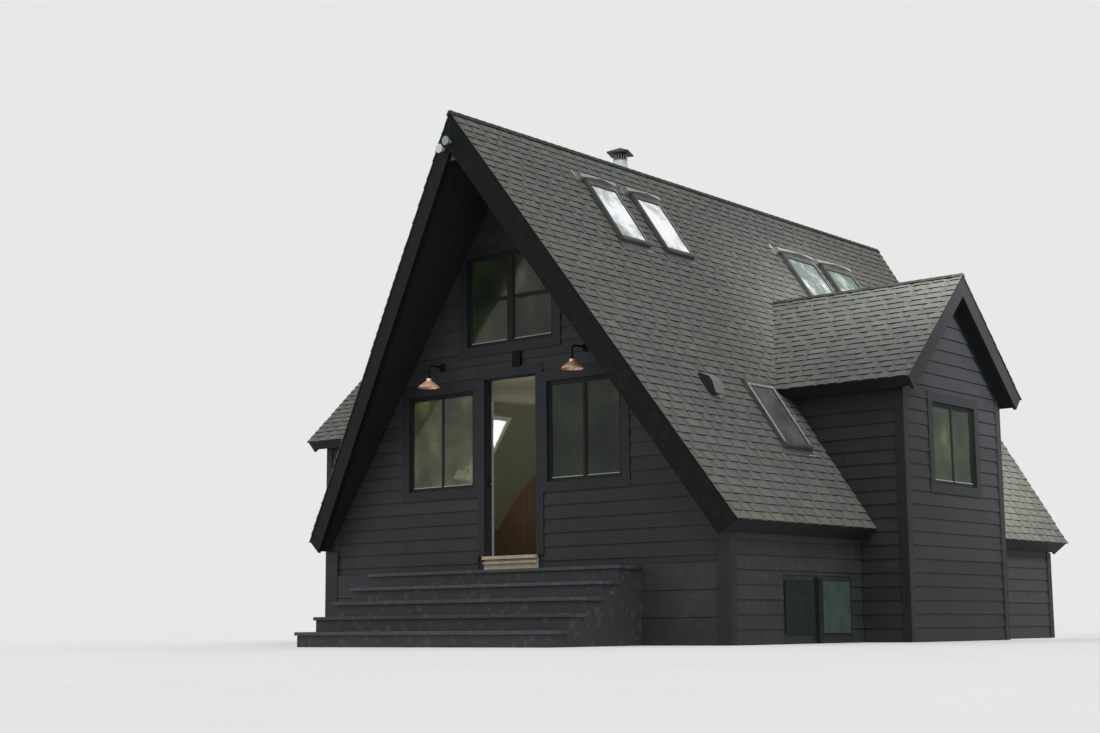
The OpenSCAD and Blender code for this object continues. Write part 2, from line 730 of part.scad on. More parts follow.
// Hooded vent low on the right slope, its mouth towards the eave
module vent_outline(inset = 0) polygon([
    [inset, 0], [15 + inset, 42], [124, 115 - inset], [188, 119 - inset], [290, 91 - inset], [228, 0]
]);
module roof_vent() color("gray") on_slope(vent_s, vent_y) {
    translate([-vent_flange, -vent_w / 2 - vent_flange, fit])
        cube([228 + 2 * vent_flange + 40, vent_w + 2 * vent_flange, 4]);
    difference() {
        translate([0, vent_w / 2, 4]) rotate([90, 0, 0]) linear_extrude(vent_w) vent_outline();
        translate([0, vent_w / 2 - 8, 4]) rotate([90, 0, 0]) linear_extrude(vent_w - 16)
            polygon([[233, 6], [285, 82], [267, 94], [215, 18]]);
    }
}

// Gooseneck wall lamps over the side windows
module lamp_arm() translate([0, 0, floor_h + lamp_z]) {
    rotate([90, 0, 0]) cylinder(r = 50, h = 22);
    translate([0, -20, 0]) rotate([90, 0, 0]) cylinder(r = arm_r, h = arm_reach - arm_bend - 20);
    translate([0, arm_bend - arm_reach, -arm_bend]) rotate([90, 0, -90])
        rotate_extrude(angle = 90) translate([arm_bend, 0]) circle(arm_r);
    translate([0, -arm_reach, shade_z + shade_top - lamp_z])
        cylinder(r = arm_r, h = lamp_z - arm_bend - shade_z - shade_top);
}
module each_lamp() for (x = [lamp_right, -lamp_left]) translate([x, 0, 0]) children();
module lamp_arms() color("black") each_lamp() lamp_arm();
module lamp_shades() color("chocolate") each_lamp() translate([0, -arm_reach, floor_h + shade_z])
    rotate_extrude() polygon([
        [0, shade_top], [24, 112], [30, 106], [34, 80], [58, 64], [shade_r - 20, 26], [shade_r, 4],
        [shade_r, 0], [shade_r - 4, 0], [shade_r - 24, 26], [54, 58], [0, 70]
    ]);
module door_light() color("black") translate([60, -light_d, door_head + casing_w + 2])
    cube([120, light_d, 165]);

// Two round lights on the left barge board, just under the peak
module peak_lights() color("white") for (i = [0, 1])
    translate([-130 * i, prow_y(130 * i) + 15, ridge_h - 350 - i * 60]) rotate([90, 0, 0]) difference() {
        union() {
            cylinder(r = 18, h = 60);
            translate([0, 0, 45]) cylinder(r1 = flood_r - 22, r2 = flood_r, h = 50);
        }
        rotate([-90, 0, 0]) translate([130 * i, -prow_y(130 * i) - 15, 0])
            linear_extrude(ridge_h, center = true) roof_plan(0);
    }

front_foundation();
back_foundation();
base_walls();
crawl_panels();
main_floor();
wing_floors();
loft_floors();
front_wall_left();
front_wall_right();
front_gable();
back_wall();
roof_left();
roof_right();
ceiling_left();
ceiling_right();
ridge_caps();
ridge_beams();
barge_boards();
wing_roofs_front();
wing_roofs_back();
wing_side_walls();
wing_gables();
wing_barge_boards();
window_frames();
window_trim();
window_glass();
door_frame();
door_casing();
door_sill();
door_leaf();
door_knobs();
door_hinges();
frame_hinges();
step_risers();
step_cheeks();
step_treads();
skylight_frames();
skylight_glass();
skylight_hoods();
flue();
roof_vent();
lamp_arms();
lamp_shades();
door_light();
peak_lights();
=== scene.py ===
import random
from math import cos, floor, pi, radians, sin, tan

import bmesh
import bpy
from mathutils import Matrix, Vector


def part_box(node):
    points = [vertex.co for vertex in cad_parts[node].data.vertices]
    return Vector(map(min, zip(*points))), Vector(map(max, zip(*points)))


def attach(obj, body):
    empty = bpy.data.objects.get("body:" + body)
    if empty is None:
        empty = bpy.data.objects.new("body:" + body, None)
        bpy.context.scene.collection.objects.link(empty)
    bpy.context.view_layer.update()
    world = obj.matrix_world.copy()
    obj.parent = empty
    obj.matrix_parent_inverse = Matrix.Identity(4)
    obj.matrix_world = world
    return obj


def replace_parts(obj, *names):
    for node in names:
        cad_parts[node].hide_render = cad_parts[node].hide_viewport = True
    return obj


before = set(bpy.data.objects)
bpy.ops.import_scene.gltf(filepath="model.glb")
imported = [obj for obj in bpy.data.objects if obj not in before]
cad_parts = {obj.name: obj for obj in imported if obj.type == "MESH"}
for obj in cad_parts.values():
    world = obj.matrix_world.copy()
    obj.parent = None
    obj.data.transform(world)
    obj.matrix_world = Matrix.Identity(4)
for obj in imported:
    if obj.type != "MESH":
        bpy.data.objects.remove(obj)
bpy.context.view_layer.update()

# Driving dimensions in metres, in the part's frame
PITCH, WING_PITCH = radians(55.8), radians(43.5)
ROOF_T, LINING_T, WALL_T, BARGE_T = 0.22, 0.022, 0.14, 0.038
EAVE_OVER = 0.172
WING_HALF, WING_T, WING_OVER = 1.2, 0.15, 0.21
FLOOR_Z, PLATE_Z, LOFT_Z = 1.0, 0.85, 3.060
SKIRT_OUT = 0.02
GROUND_GAP = 0.002

# Worked out from the frame
EAVE_X, _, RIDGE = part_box("roof_right")[1]
APEX_OVER = -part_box("barge_boards")[0].y
HOUSE_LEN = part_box("back_wall")[1].y
wing_low, wing_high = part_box("wing_barge_boards")
WING_RIGHT, WING_LEFT, WING_EAVE_Y = wing_high.x, -wing_low.x, wing_low.y
WING_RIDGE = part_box("wing_roofs_front")[1].z
BASE_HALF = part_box("base_walls")[1].x
GABLE_HALF = BASE_HALF - 0.15
MID_Y = HOUSE_LEN / 2
CP, SP, TP = cos(PITCH), sin(PITCH), tan(PITCH)
CW, SW, TW = cos(WING_PITCH), sin(WING_PITCH), tan(WING_PITCH)
SLOPE_LEN = EAVE_X / CP
WING_SLOPE_LEN = (MID_Y - WING_EAVE_Y) / CW
WING_SOFFIT = WING_RIDGE - WING_T / CW
LINING_DEPTH = ROOF_T + LINING_T
SIDES = ((1, "right"), (-1, "left"))
WINGS = ((1, WING_RIGHT, "right"), (-1, WING_LEFT, "left"))
ENDS = ((-SKIRT_OUT, -1), (HOUSE_LEN + SKIRT_OUT, 1))

# Shingles: the course to the weather, how far a course runs under the next, and thicknesses
COURSE, HEAD_LAP = 0.110, 0.02
STRIP_LEN, STRIP_T = 0.99, 0.007
TAB_W, TAB_GAP, TAB_T = (0.10, 0.24), (0.03, 0.10), 0.017
THIN_END = 0.15
SHINGLE_LIP = 0.012
VALLEY_GAP = 0.006
# Butt faces take a near-black tone: the dark asphalt edge, darkened further as painted shade. The
# other side faces take a lighter tone, painted light against their own shade.
BUTT_BAND, BUTT_ASPHALT_AND_SHADE_TONE, SIDE_PAINTED_LIGHT = 0.006, 0.03, 0.32

# Folded ridge shingles
CAP_STEP, CAP_LEN, CAP_W = 0.135, 0.2, 0.056
CAP_BASE, CAP_FOOT, CAP_BLUNT = 0.0185, -0.008, 0.018
CAP_BUTT_T, CAP_HEAD_T = 0.005, 0.001

# Lap siding: the board to the weather and how far its foot and head stand off the wall
LAP, LAP_LINE, LAP_UNDER = 0.1532, 1.6913, 0.012
LAP_FOOT, LAP_HEAD = 0.019, 0.007
BOARD_LEN = 3.66
WING_START = 0.9
CORNER_W, CORNER_T = 0.09, 0.026
BASE_TOP = 1.14
SOFFIT_W, SOFFIT_T = 0.14, 0.012

# Skylights: distance down the slope, place along the ridge, width, and whether it has a hood
SKY_LEN, SKY_W, SKY_REAR_W = 0.975, 0.55, 0.79
KERB_H, KERB_W = 0.062, 0.036
HOODED_HEAD_W, HEAD_W = 0.088, 0.058
HOOD_BACK, HOOD_SIDE, HOOD_FLANGE = 0.15, 0.065, 0.035
UPPER_SKYLIGHTS = [
    (0.590, 1.215, SKY_W, True), (0.590, 2.115, SKY_W, True),
    (0.905, 5.370, SKY_REAR_W, True), (0.905, 6.400, SKY_REAR_W, True),
]
SKYLIGHTS = {
    1: UPPER_SKYLIGHTS + [(3.620, 1.940, SKY_W, False)],
    -1: UPPER_SKYLIGHTS + [(3.545, 1.725, SKY_W, False)],
}

# Sections at a skylight's foot: the cladding, from the kerb's top, and the apron
SKY_NOSE = [
    (-0.052, 0.0), (-0.042, 0.012), (-0.012, 0.011), (0.004, -0.004), (0.006, -0.022),
    (-0.001, -0.03),
]
SKY_APRON = [
    (-0.001, KERB_H - 0.028), (0.004, KERB_H - 0.03), (0.008, 0.017), (0.095, 0.013),
    (0.094, 0.0105), (-0.001, 0.013),
]

# Roof vent and flue
VENT_S, VENT_Y, VENT_W, VENT_LEN, VENT_FLANGE = 3.63, 0.88, 0.185, 0.228, 0.045
VENT_HALF = VENT_W / 2
VENT_FOOT = VENT_S + VENT_LEN + 0.085
VENT_SKIRT = [(0.205, 0.005), (0.262, 0.005), (0.334, 0.085), (0.284, 0.0945)]
VENT_TOP = [(0.284, 0.0915), (0.334, 0.082), (0.334, 0.085), (0.284, 0.0945)]
FLUE = Vector((-0.50, 2.77, 0))
FLUE_R, FLUE_CAP_R = 0.095, 0.205
FLUE_TOP = RIDGE + 0.30
FLUE_GAP = 0.095
FLUE_CAP_TURN = radians(-22)
FLUE_S = -FLUE.x / CP
FLUE_PLATE = (FLUE_S - 0.19, FLUE.y - 0.17, FLUE_S + 0.26, FLUE.y + 0.17)

# Wall lamps: distance of each from the centre line, and sections as radius and height
LAMPS, LAMP_Z = (1.120, -1.060), 3.255
BULB_SECTION = [
    (0.002, 0.000), (0.016, 0.006), (0.028, 0.020), (0.030, 0.034), (0.022, 0.052), (0.014, 0.068),
]
COLLAR_SECTION = [(0.018, 0.108), (0.026, 0.111), (0.026, 0.122), (0.019, 0.132), (0.013, 0.136)]
PLATE_SECTION = [
    (0.052, 0.0), (0.052, 0.010), (0.044, 0.018), (0.030, 0.024), (0.018, 0.034), (0.013, 0.040),
]

# Windows: left edge, width, foot and height
SILL_Z = 1.795
SIDE_WIN = (0.555, 1.05, SILL_Z, 1.135)
UPPER_WIN = (-0.655, 1.31, 3.435, 1.075)
WING_WIN_W, WING_WIN_H = 1.05, 0.95
WING_WIN_X = (WING_LEFT - WING_OVER + BASE_HALF) / 2
FRAME_W, MUNTIN_W, MULLION_W, POST_W, UPPER_POST_W = 0.040, 0.030, 0.020, 0.042, 0.096
TRIM_W = 0.11
SASH_W, SASH_Y, GLASS_Y = 0.009, 0.0095, 0.0178
BEAD_H = 0.012

# Doorway
CASING_X, CASING_TOP = 0.496, 3.147
DOOR_HALF, STOP_D = 0.381, 0.088
HINGE = Vector((0.382, 0.148, 0))
DOOR_OPEN = radians(-90)
LEAF_W, LEAF_T, STILE_W = 0.764, 0.044, 0.11
LEAF_PANELS = [(1.120, 1.730), (1.950, 2.916)]
MOULDING_W, FIELD_IN, FIELD_GAP = 0.022, 0.05, 0.03
KNOB_Z = 1.870

# Lower edge of the lining's return at the mouth of a wing, as (s, y), and the line it hangs from
WING_RETURN = [(3.20, 3.40), (4.00, 3.15), (4.316, 3.03), (4.56, 2.90), (4.84, 2.85), (5.20, 2.80)]
RETURN_Y = 2.55

# Steps
STEP_HALF, STEP_RUN, TOP_RUN = 1.85, 0.28, 0.42
TREAD_T, NOSING, RISER = 0.038, 0.025, FLOOR_Z / 6

# Camera: turned to the left, upwards, and about its own view
CAMERA_AT, CAMERA_LENS = (12.7643, -14.4597, 0.20), 55.653
YAW, TILT, ROLL = radians(40.091), radians(8.7114), radians(-0.4828)


# Shader graphs

def scaled(color, share):
    return tuple(min(1, c * share) for c in color)


class Graph:
    """Short calls for the nodes of one tree, a new material's unless a tree is given."""

    def __init__(self, name, tree=None):
        if tree is None:
            self.mat = bpy.data.materials.new(name)
            self.mat.use_nodes = True
            tree = self.mat.node_tree
            self.shader = tree.nodes["Principled BSDF"]
        self.tree = tree

    def put(self, socket, value):
        """Link a socket to another, or give it a number, a vector or a colour."""
        if isinstance(value, bpy.types.NodeSocket):
            self.tree.links.new(value, socket)
        else:
            socket.default_value = (*value, 1) if socket.type == "RGBA" else value

    def set(self, socket, value):
        self.put(self.shader.inputs[socket], value)

    def node(self, kind, inputs, **settings):
        item = self.tree.nodes.new(kind)
        for key, value in settings.items():
            setattr(item, key, value)
        for key, value in inputs.items():
            self.put(item.inputs[key], value)
        return item

    def coords(self, stretch=(1, 1, 1)):
        source = self.tree.nodes.new("ShaderNodeTexCoord").outputs["Object"]
        return self.node("ShaderNodeMapping", {"Vector": source, "Scale": stretch}).outputs[0]

    def noise(self, scale, detail=4, stretch=(1, 1, 1), rough=0.55):
        inputs = {
            "Vector": self.coords(stretch), "Scale": scale, "Detail": detail, "Roughness": rough,
        }
        return self.node("ShaderNodeTexNoise", inputs).outputs["Fac"]

    def tone(self):
        return self.node("ShaderNodeAttribute", {}, attribute_name="tone").outputs["Fac"]

    def above(self, axis, limit, source="Object"):
        """1 where the object's coordinate, or its normal's, is over a limit, and 0 elsewhere."""
        kind = "ShaderNodeNewGeometry" if source == "Normal" else "ShaderNodeTexCoord"
        found = self.tree.nodes.new(kind).outputs[source]
        value = self.node("ShaderNodeSeparateXYZ", {"Vector": found}).outputs[axis]
        inputs = {0: value, 1: limit}
        return self.node("ShaderNodeMath", inputs, operation="GREATER_THAN").outputs[0]

    def ramp(self, fac, stops):
        item = self.node("ShaderNodeValToRGB", {"Fac": fac})
        while len(item.color_ramp.elements) < len(stops):
            item.color_ramp.elements.new(0.5)
        for element, (place, color) in zip(item.color_ramp.elements, stops):
            element.position = place
            element.color = (*color, 1) if isinstance(color, tuple) else (color, color, color, 1)
        return item.outputs["Color"]

    def blend(self, fac, a, b, low=0.30, high=0.70):
        return self.ramp(fac, [(low, a), (high, b)])

    def mix(self, fac, a, b, mode="MIX"):
        inputs = {0: fac, 6: a, 7: b}
        return self.node("ShaderNodeMix", inputs, data_type="RGBA", blend_type=mode).outputs[2]

    def times(self, a, b):
        return self.mix(1.0, a, b, "MULTIPLY")

    def rough(self, fac, a, b, low=0.2, high=0.8):
        self.set("Roughness", self.blend(fac, a, b, low, high))

    def bump(self, height, strength, distance):
        inputs = {"Height": height, "Strength": strength, "Distance": distance}
        self.set("Normal", self.node("ShaderNodeBump", inputs).outputs[0])


def shingle_material():
    g = Graph("shingles")
    base = g.ramp(g.tone(), [
        (0.00, (0.010, 0.010, 0.010)), (0.12, (0.030, 0.030, 0.029)),
        (0.30, (0.072, 0.072, 0.068)), (0.55, (0.098, 0.099, 0.093)),
        (0.78, (0.112, 0.112, 0.104)), (1.00, (0.134, 0.131, 0.119)),
    ])
    granules = g.blend(g.noise(420, 2), 0.76, 1.20)
    weather = g.ramp(g.noise(0.55, 6), [
        (0.28, (0.84, 0.84, 0.85)), (0.45, (0.98, 0.98, 0.96)),
        (0.58, (0.99, 1.03, 0.96)), (0.74, (1.14, 1.10, 1.02)),
    ])
    tints = g.ramp(g.noise(3.2, 4), [
        (0.34, (0.99, 0.98, 1.02)), (0.46, (1.04, 1.00, 0.97)),
        (0.56, (0.97, 1.02, 1.00)), (0.70, (0.94, 0.98, 0.98)),
    ])
    g.set("Base Color", g.times(g.times(g.times(base, granules), tints), weather))
    g.rough(g.noise(30, 2), 0.86, 0.98, 0.0, 1.0)
    g.bump(g.noise(330, 3), 0.5, 0.0015)
    return g.mat


def paint_material(
    name, color, rough=0.6, spread=0.22, grain=(1.5, 1.5, 26), dust=0.0, gloss=0.22,
):
    """Painted wood: board-to-board tone, grain along the board, and a little dust."""
    g = Graph(name)
    shade = g.mix(g.tone(), scaled(color, 1 - spread), scaled(color, 1 + spread))
    streaks = g.blend(g.noise(6, 5, grain), 0.86, 1.14, 0.30, 0.72)
    clouds = g.blend(g.noise(1.3, 4), 0.88, 1.12)
    specks = g.blend(g.noise(9, 6), 0.0, dust, 0.55, 0.80)
    painted = g.times(g.times(shade, streaks), clouds)
    g.set("Base Color", g.mix(specks, painted, (0.16, 0.15, 0.13)))
    g.rough(g.noise(11, 3, grain), rough - 0.10, rough + 0.10)
    g.set("Specular IOR Level", gloss)
    g.bump(g.noise(9, 5, grain), 0.25, 0.002)
    return g.mat


def jamb_material():
    """Dark outside, pale from the stop inwards."""
    g = Graph("jamb")
    wear = g.blend(g.noise(14, 4, (1, 1, 0.2)), 0.85, 1.12)
    paint = g.mix(g.above("Y", STOP_D + 0.016), (0.010, 0.011, 0.012), (0.26, 0.27, 0.27))
    g.set("Base Color", g.times(paint, wear))
    g.rough(g.noise(9, 3), 0.5, 0.7)
    g.set("Specular IOR Level", 0.2)
    g.bump(g.noise(20, 4, (1, 1, 0.1)), 0.2, 0.001)
    return g.mat


def flue_material():
    """Pale pipe, dark inside the screen and over the cap."""
    g = Graph("flue_metal")
    streaks = g.noise(6, 5, (1, 1, 0.25))
    pipe = g.blend(streaks, (0.50, 0.525, 0.53), (0.68, 0.71, 0.715))
    dark = g.blend(streaks, (0.012, 0.012, 0.012), (0.022, 0.022, 0.021))
    g.set("Base Color", g.mix(g.above("Z", FLUE_TOP - 0.003), pipe, dark))
    g.set("Metallic", 0.25)
    g.rough(g.noise(15, 4), 0.42, 0.62)
    g.bump(g.noise(50, 3), 0.1, 0.001)
    return g.mat


def panel_material():
    """Two crawl-space panels: the front one and the post dark, the rear one pale, though toned down
    as painted shade.
    """
    g = Graph("crawl_panel")
    clouds = g.noise(5, 5)
    dark = g.blend(clouds, (0.008, 0.013, 0.012), (0.014, 0.020, 0.019))
    # The rear panel's colour is darker than its paint: painted shade.
    pale = g.blend(clouds, (0.030, 0.048, 0.043), (0.052, 0.074, 0.067))
    g.set("Base Color", g.mix(g.above("Y", 1.71), dark, pale))
    g.rough(g.noise(11, 3), 0.5, 0.7)
    g.set("Specular IOR Level", 0.1)
    g.bump(g.noise(18, 4), 0.15, 0.001)
    return g.mat


def peak_light_material():
    """Two round lights: the one nearer the peak grey-green, the other pale."""
    g = Graph("peak_light")
    clouds = g.noise(30, 4)
    green = g.blend(clouds, (0.14, 0.18, 0.155), (0.23, 0.28, 0.245))
    pale = g.blend(clouds, (0.42, 0.43, 0.43), (0.56, 0.57, 0.57))
    g.set("Base Color", g.mix(g.above("X", -0.066), pale, green))
    g.rough(g.noise(20, 3), 0.3, 0.5)
    return g.mat


def window_glass_material():
    """Dark glass with a soft painted reflection of foliage; the front left window's painted
    reflection is the lightest.
    """
    g = Graph("window_glass")
    foliage_reflection = g.ramp(g.noise(2.6, 3, (1, 1, 0.8), 0.5), [
        (0.36, (0.014, 0.020, 0.013)), (0.50, (0.026, 0.035, 0.019)),
        (0.62, (0.045, 0.057, 0.030)), (0.80, (0.13, 0.15, 0.08)),
    ])
    # Strength of the painted reflection: strongest on the front left window, weakest on the front
    # right one, plain on the rear and wing windows, a little stronger on the upper ones.
    plain = (0.70, 0.80, 0.72)
    light = g.mix(g.above("X", -2.2), plain, (3.2, 2.5, 2.4))
    light = g.mix(g.above("X", 0.0), light, (0.55, 0.66, 0.55))
    light = g.mix(g.above("Y", 1.0), light, plain)
    light = g.mix(g.above("Z", 3.2), light, (1.05, 1.05, 1.10))
    g.set("Base Color", g.times(foliage_reflection, light))
    g.rough(g.noise(4, 3), 0.04, 0.09, 0.3, 0.7)
    g.set("Specular IOR Level", 0.22)
    g.set("Alpha", 0.78)
    return g.mat


def vent_material():
    """Painted sheet, with near-black painted shade on the faces turned towards -Y."""
    g = Graph("vent_metal")
    paint = g.blend(g.noise(8, 5), (0.085, 0.090, 0.088), (0.135, 0.140, 0.138))
    # 0 on faces turned towards -Y, which take near-black painted shade
    shaded = g.above("Y", -0.5, "Normal")
    g.set("Base Color", g.mix(shaded, (0.012, 0.012, 0.012), paint))
    g.rough(g.noise(12, 3), 0.45, 0.65)
    g.bump(g.noise(60, 3), 0.12, 0.001)
    return g.mat


def sky_glass_material():
    """Skylight glass with a broken painted reflection of sky and trees, dull low down, darker to
    the rear.
    """
    g = Graph("skylight_glass")
    cloud = g.noise(2.6, 6, (1, 1, 1), 0.62)
    sky = g.ramp(cloud, [
        (0.34, (0.27, 0.32, 0.28)), (0.43, (0.52, 0.56, 0.56)),
        (0.51, (0.90, 0.91, 0.93)), (0.72, (0.97, 0.97, 0.98)),
    ])
    dull = g.blend(cloud, (0.062, 0.069, 0.067), (0.118, 0.127, 0.124))
    rear = g.ramp(cloud, [
        (0.34, (0.055, 0.095, 0.075)), (0.50, (0.115, 0.145, 0.135)), (0.64, (0.50, 0.53, 0.53)),
    ])
    # The rearmost skylights' painted reflection is darker still.
    rear = g.times(rear, g.mix(g.above("Y", 5.9), (1.0, 1.0, 1.0), (0.55, 0.70, 0.60)))
    high = g.mix(g.above("Y", 4.0), sky, rear)
    g.set("Base Color", g.mix(g.above("Z", 3.7), dull, high))
    g.rough(g.noise(4, 3), 0.05, 0.12, 0.3, 0.7)
    g.set("Alpha", 0.90)
    g.bump(g.noise(1.5, 2), 0.05, 0.01)
    return g.mat


def wood_material(name, dark, light, stretch, rough):
    g = Graph(name)
    grain = g.blend(g.noise(7, 8, stretch, 0.65), dark, light, 0.28, 0.72)
    patches = g.blend(g.noise(2.2, 3), 0.82, 1.14)
    g.set("Base Color", g.times(grain, patches))
    g.rough(g.noise(12, 3), rough - 0.12, rough + 0.12, 0.0, 1.0)
    g.bump(g.noise(14, 6, stretch), 0.35, 0.0015)
    return g.mat


def floor_material():
    """Planks of one width with a groove between them."""
    g = Graph("floor_boards")
    dark, light, width = (0.13, 0.075, 0.042), (0.22, 0.13, 0.075), 0.11
    turn = {"Vector": g.coords(), "Rotation": (0, 0, pi / 2)}
    inputs = {
        "Vector": g.node("ShaderNodeMapping", turn).outputs[0], "Scale": 1.0,
        "Mortar Size": width * 0.03, "Mortar Smooth": 0.3, "Brick Width": 2.4,
        "Row Height": width, "Color1": dark, "Color2": light, "Mortar": scaled(dark, 0.5),
    }
    planks = g.node("ShaderNodeTexBrick", inputs, offset=0.37).outputs
    streaks = g.blend(g.noise(5, 6, (2, 2, 2)), 0.85, 1.12)
    g.set("Base Color", g.times(planks["Color"], streaks))
    g.rough(g.noise(10, 2), 0.34, 0.50, 0.0, 1.0)
    g.bump(g.blend(planks["Fac"], 1.0, 0.0, 0.0, 1.0), 0.6, 0.004)
    return g.mat


def metal_material(name, color, rough, metallic, spread=0.15, scale=5, specks=0.0):
    g = Graph(name)
    base = g.blend(g.noise(scale, 6), scaled(color, 1 - spread), scaled(color, 1 + spread))
    spots = g.blend(g.noise(scale * 6, 4), 0.0, specks, 0.58, 0.75)
    g.set("Base Color", g.mix(spots, base, scaled(color, 0.35)))
    g.set("Metallic", metallic)
    g.rough(g.noise(scale * 3, 4), rough - 0.07, rough + 0.10)
    g.bump(g.noise(scale * 12, 3), 0.12, 0.001)
    return g.mat


def bulb_material():
    g = Graph("bulb")
    color = (0.85, 0.80, 0.68)
    g.set("Base Color", g.blend(g.noise(2.5, 4), scaled(color, 0.85), color))
    g.rough(g.noise(4, 3), 0.04, 0.09, 0.3, 0.7)
    g.set("Coat Weight", 1.0)
    g.set("Coat Roughness", 0.05)
    return g.mat


def plaster_material(name, color, rough):
    g = Graph(name)
    g.set("Base Color", g.blend(g.noise(3, 5), scaled(color, 0.93), color, 0.25, 0.75))
    g.rough(g.noise(8, 3), rough - 0.1, rough + 0.1, 0.0, 1.0)
    g.bump(g.noise(60, 4), 0.15, 0.001)
    return g.mat


SHINGLES = shingle_material()
SIDING = paint_material("siding", (0.0185, 0.0205, 0.0230), dust=0.06)
TRIM = paint_material("trim", (0.0130, 0.0145, 0.0155), 0.55, 0.14, (5, 5, 5), 0.04)
# Barge boards: a darker copy of the trim paint, as painted shade.
BARGE_SHADE_PAINT = paint_material("barge_shaded_paint", (0.0052, 0.0058, 0.0064), 0.7, 0.14, (3, 3, 3), 0.05, 0.12)
SKIRTING = paint_material("skirting", (0.024, 0.026, 0.028), 0.66, dust=0.16)
SOFFIT = paint_material("soffit", (0.012, 0.012, 0.013), 0.7, 0.20, (3, 3, 3))
STEPS = paint_material("step_paint", (0.040, 0.043, 0.047), 0.6, 0.30, (1.2, 18, 18), 0.40)
SASH = paint_material("sash_paint", (0.0062, 0.0080, 0.0082), 0.6, 0.1)
# Glazing beads whose pale colour is a painted highlight for the light line along each sash's foot.
BEAD_HIGHLIGHT = metal_material("bead_painted_highlight", (0.24, 0.26, 0.25), 0.4, 0.2)
WINDOW_GLASS = window_glass_material()
SKY_GLASS = sky_glass_material()
KERB = metal_material("kerb", (0.060, 0.060, 0.060), 0.5, 0.1, 0.3)
KERB_DARK = metal_material("kerb_edge", (0.016, 0.016, 0.016), 0.5, 0.1, 0.3)
SHEET = metal_material("sheet_metal", (0.25, 0.25, 0.245), 0.45, 0.15, 0.18, 4, 0.4)
# A lighter copy of the sheet metal: painted highlight on the bits of flashing that catch the light.
HIGHLIGHT_SHEET = metal_material("sheet_painted_highlight", (0.50, 0.50, 0.49), 0.4, 0.2, 0.15, 4, 0.3)
FLASHING = metal_material("flashing", (0.075, 0.078, 0.078), 0.55, 0.3, 0.22, 6, 0.5)
FLUE_METAL = flue_material()
SCREEN = metal_material("flue_screen", (0.36, 0.38, 0.39), 0.5, 0.2, 0.2, 7, 0.3)
FLUE_DARK = metal_material("flue_cap_metal", (0.017, 0.018, 0.018), 0.6, 0.1, 0.25, 7, 0.4)
VENT_METAL = vent_material()
COPPER = metal_material("copper", (0.98, 0.58, 0.43), 0.26, 0.45, 0.06)
BLACK = paint_material("black_paint", (0.0030, 0.0030, 0.0032), 0.6, 0.1, gloss=0.10)
NICKEL = metal_material("hardware", (0.42, 0.42, 0.41), 0.3, 0.9, 0.12, 20)
DOOR = paint_material("door_paint", (0.30, 0.31, 0.31), 0.42, 0.05, (8, 8, 1))
JAMB = jamb_material()
SILL = wood_material("sill_wood", (0.21, 0.165, 0.115), (0.50, 0.42, 0.32), (1.5, 22, 22), 0.7)
FLOOR = floor_material()
CEILING = plaster_material("ceiling_paint", (0.33, 0.35, 0.25), 0.75)
LOFT_BOARD = plaster_material("loft_underside", (0.60, 0.585, 0.42), 0.75)
PANELLING = wood_material(
    "wing_panelling", (0.26, 0.15, 0.085), (0.44, 0.28, 0.17), (2, 2, 14), 0.6,
)
CRAWL_PANEL = panel_material()
SHAFT_PAINT = plaster_material("shaft_paint", (0.95, 0.97, 0.90), 0.7)
PEAK_LIGHT = peak_light_material()
BULB = bulb_material()

NODE_LOOKS = {
    SOFFIT: "roof_left roof_right wing_roofs_front wing_roofs_back ridge_beams",
    SIDING: "front_wall_left front_wall_right front_gable back_wall wing_side_walls wing_gables",
    TRIM: "wing_barge_boards window_trim door_casing",
    BARGE_SHADE_PAINT: "barge_boards",
    JAMB: "door_frame",
    SKIRTING: "front_foundation back_foundation base_walls",
    CRAWL_PANEL: "crawl_panels",
    CEILING: "ceiling_left ceiling_right",
    FLOOR: "main_floor wing_floors loft_floors",
    SASH: "window_frames",
    WINDOW_GLASS: "window_glass",
    SKY_GLASS: "skylight_glass",
    KERB: "skylight_frames",
    SHEET: "skylight_hoods",
    FLUE_METAL: "flue",
    VENT_METAL: "roof_vent",
    COPPER: "lamp_shades",
    BLACK: "lamp_arms door_light",
    PEAK_LIGHT: "peak_lights",
    DOOR: "door_leaf",
    NICKEL: "door_knobs door_hinges frame_hinges",
    SILL: "door_sill",
    STEPS: "step_risers step_cheeks step_treads",
}
SOFT_NODES = "barge_boards wing_barge_boards window_trim door_casing window_frames door_leaf"


def dress_nodes():
    for material, names in NODE_LOOKS.items():
        for name in names.split():
            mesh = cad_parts[name].data
            mesh.materials.clear()
            mesh.materials.append(material)


# Cutting outlines: a plane (a, b, c) keeps the side where a*u + b*v <= c

def clip(outline, plane):
    a, b, c = plane
    kept = []
    for i, point in enumerate(outline):
        before = outline[i - 1]
        here = a * point[0] + b * point[1] - c
        there = a * before[0] + b * before[1] - c
        if (here <= 0) != (there <= 0):
            t = there / (there - here)
            kept.append(tuple(q + t * (p - q) for p, q in zip(point, before)))
        if here <= 0:
            kept.append(point)
    return kept


def too_small(outline):
    if len(outline) < 3:
        return True
    pairs = zip(outline, outline[1:] + outline[:1])
    return abs(sum(p[0] * q[1] - q[0] * p[1] for p, q in pairs)) / 2 < 1e-5


def outside(outline, hole):
    """Convex parts of an outline that lie outside a convex hole."""
    parts = []
    for a, b, c in hole:
        part = clip(outline, (-a, -b, -c))
        if not too_small(part):
            parts.append(part)
        outline = clip(outline, (a, b, c))
        if len(outline) < 3:
            break
    return parts


def fit(outline, keep, holes):
    for plane in keep:
        outline = clip(outline, plane)
        if too_small(outline):
            return []
    parts = [outline]
    for hole in holes:
        parts = [rest for part in parts for rest in outside(part, hole)]
    return parts


def rect(u0, v0, u1, v1):
    return [(u0, v0), (u1, v0), (u1, v1), (u0, v1)]


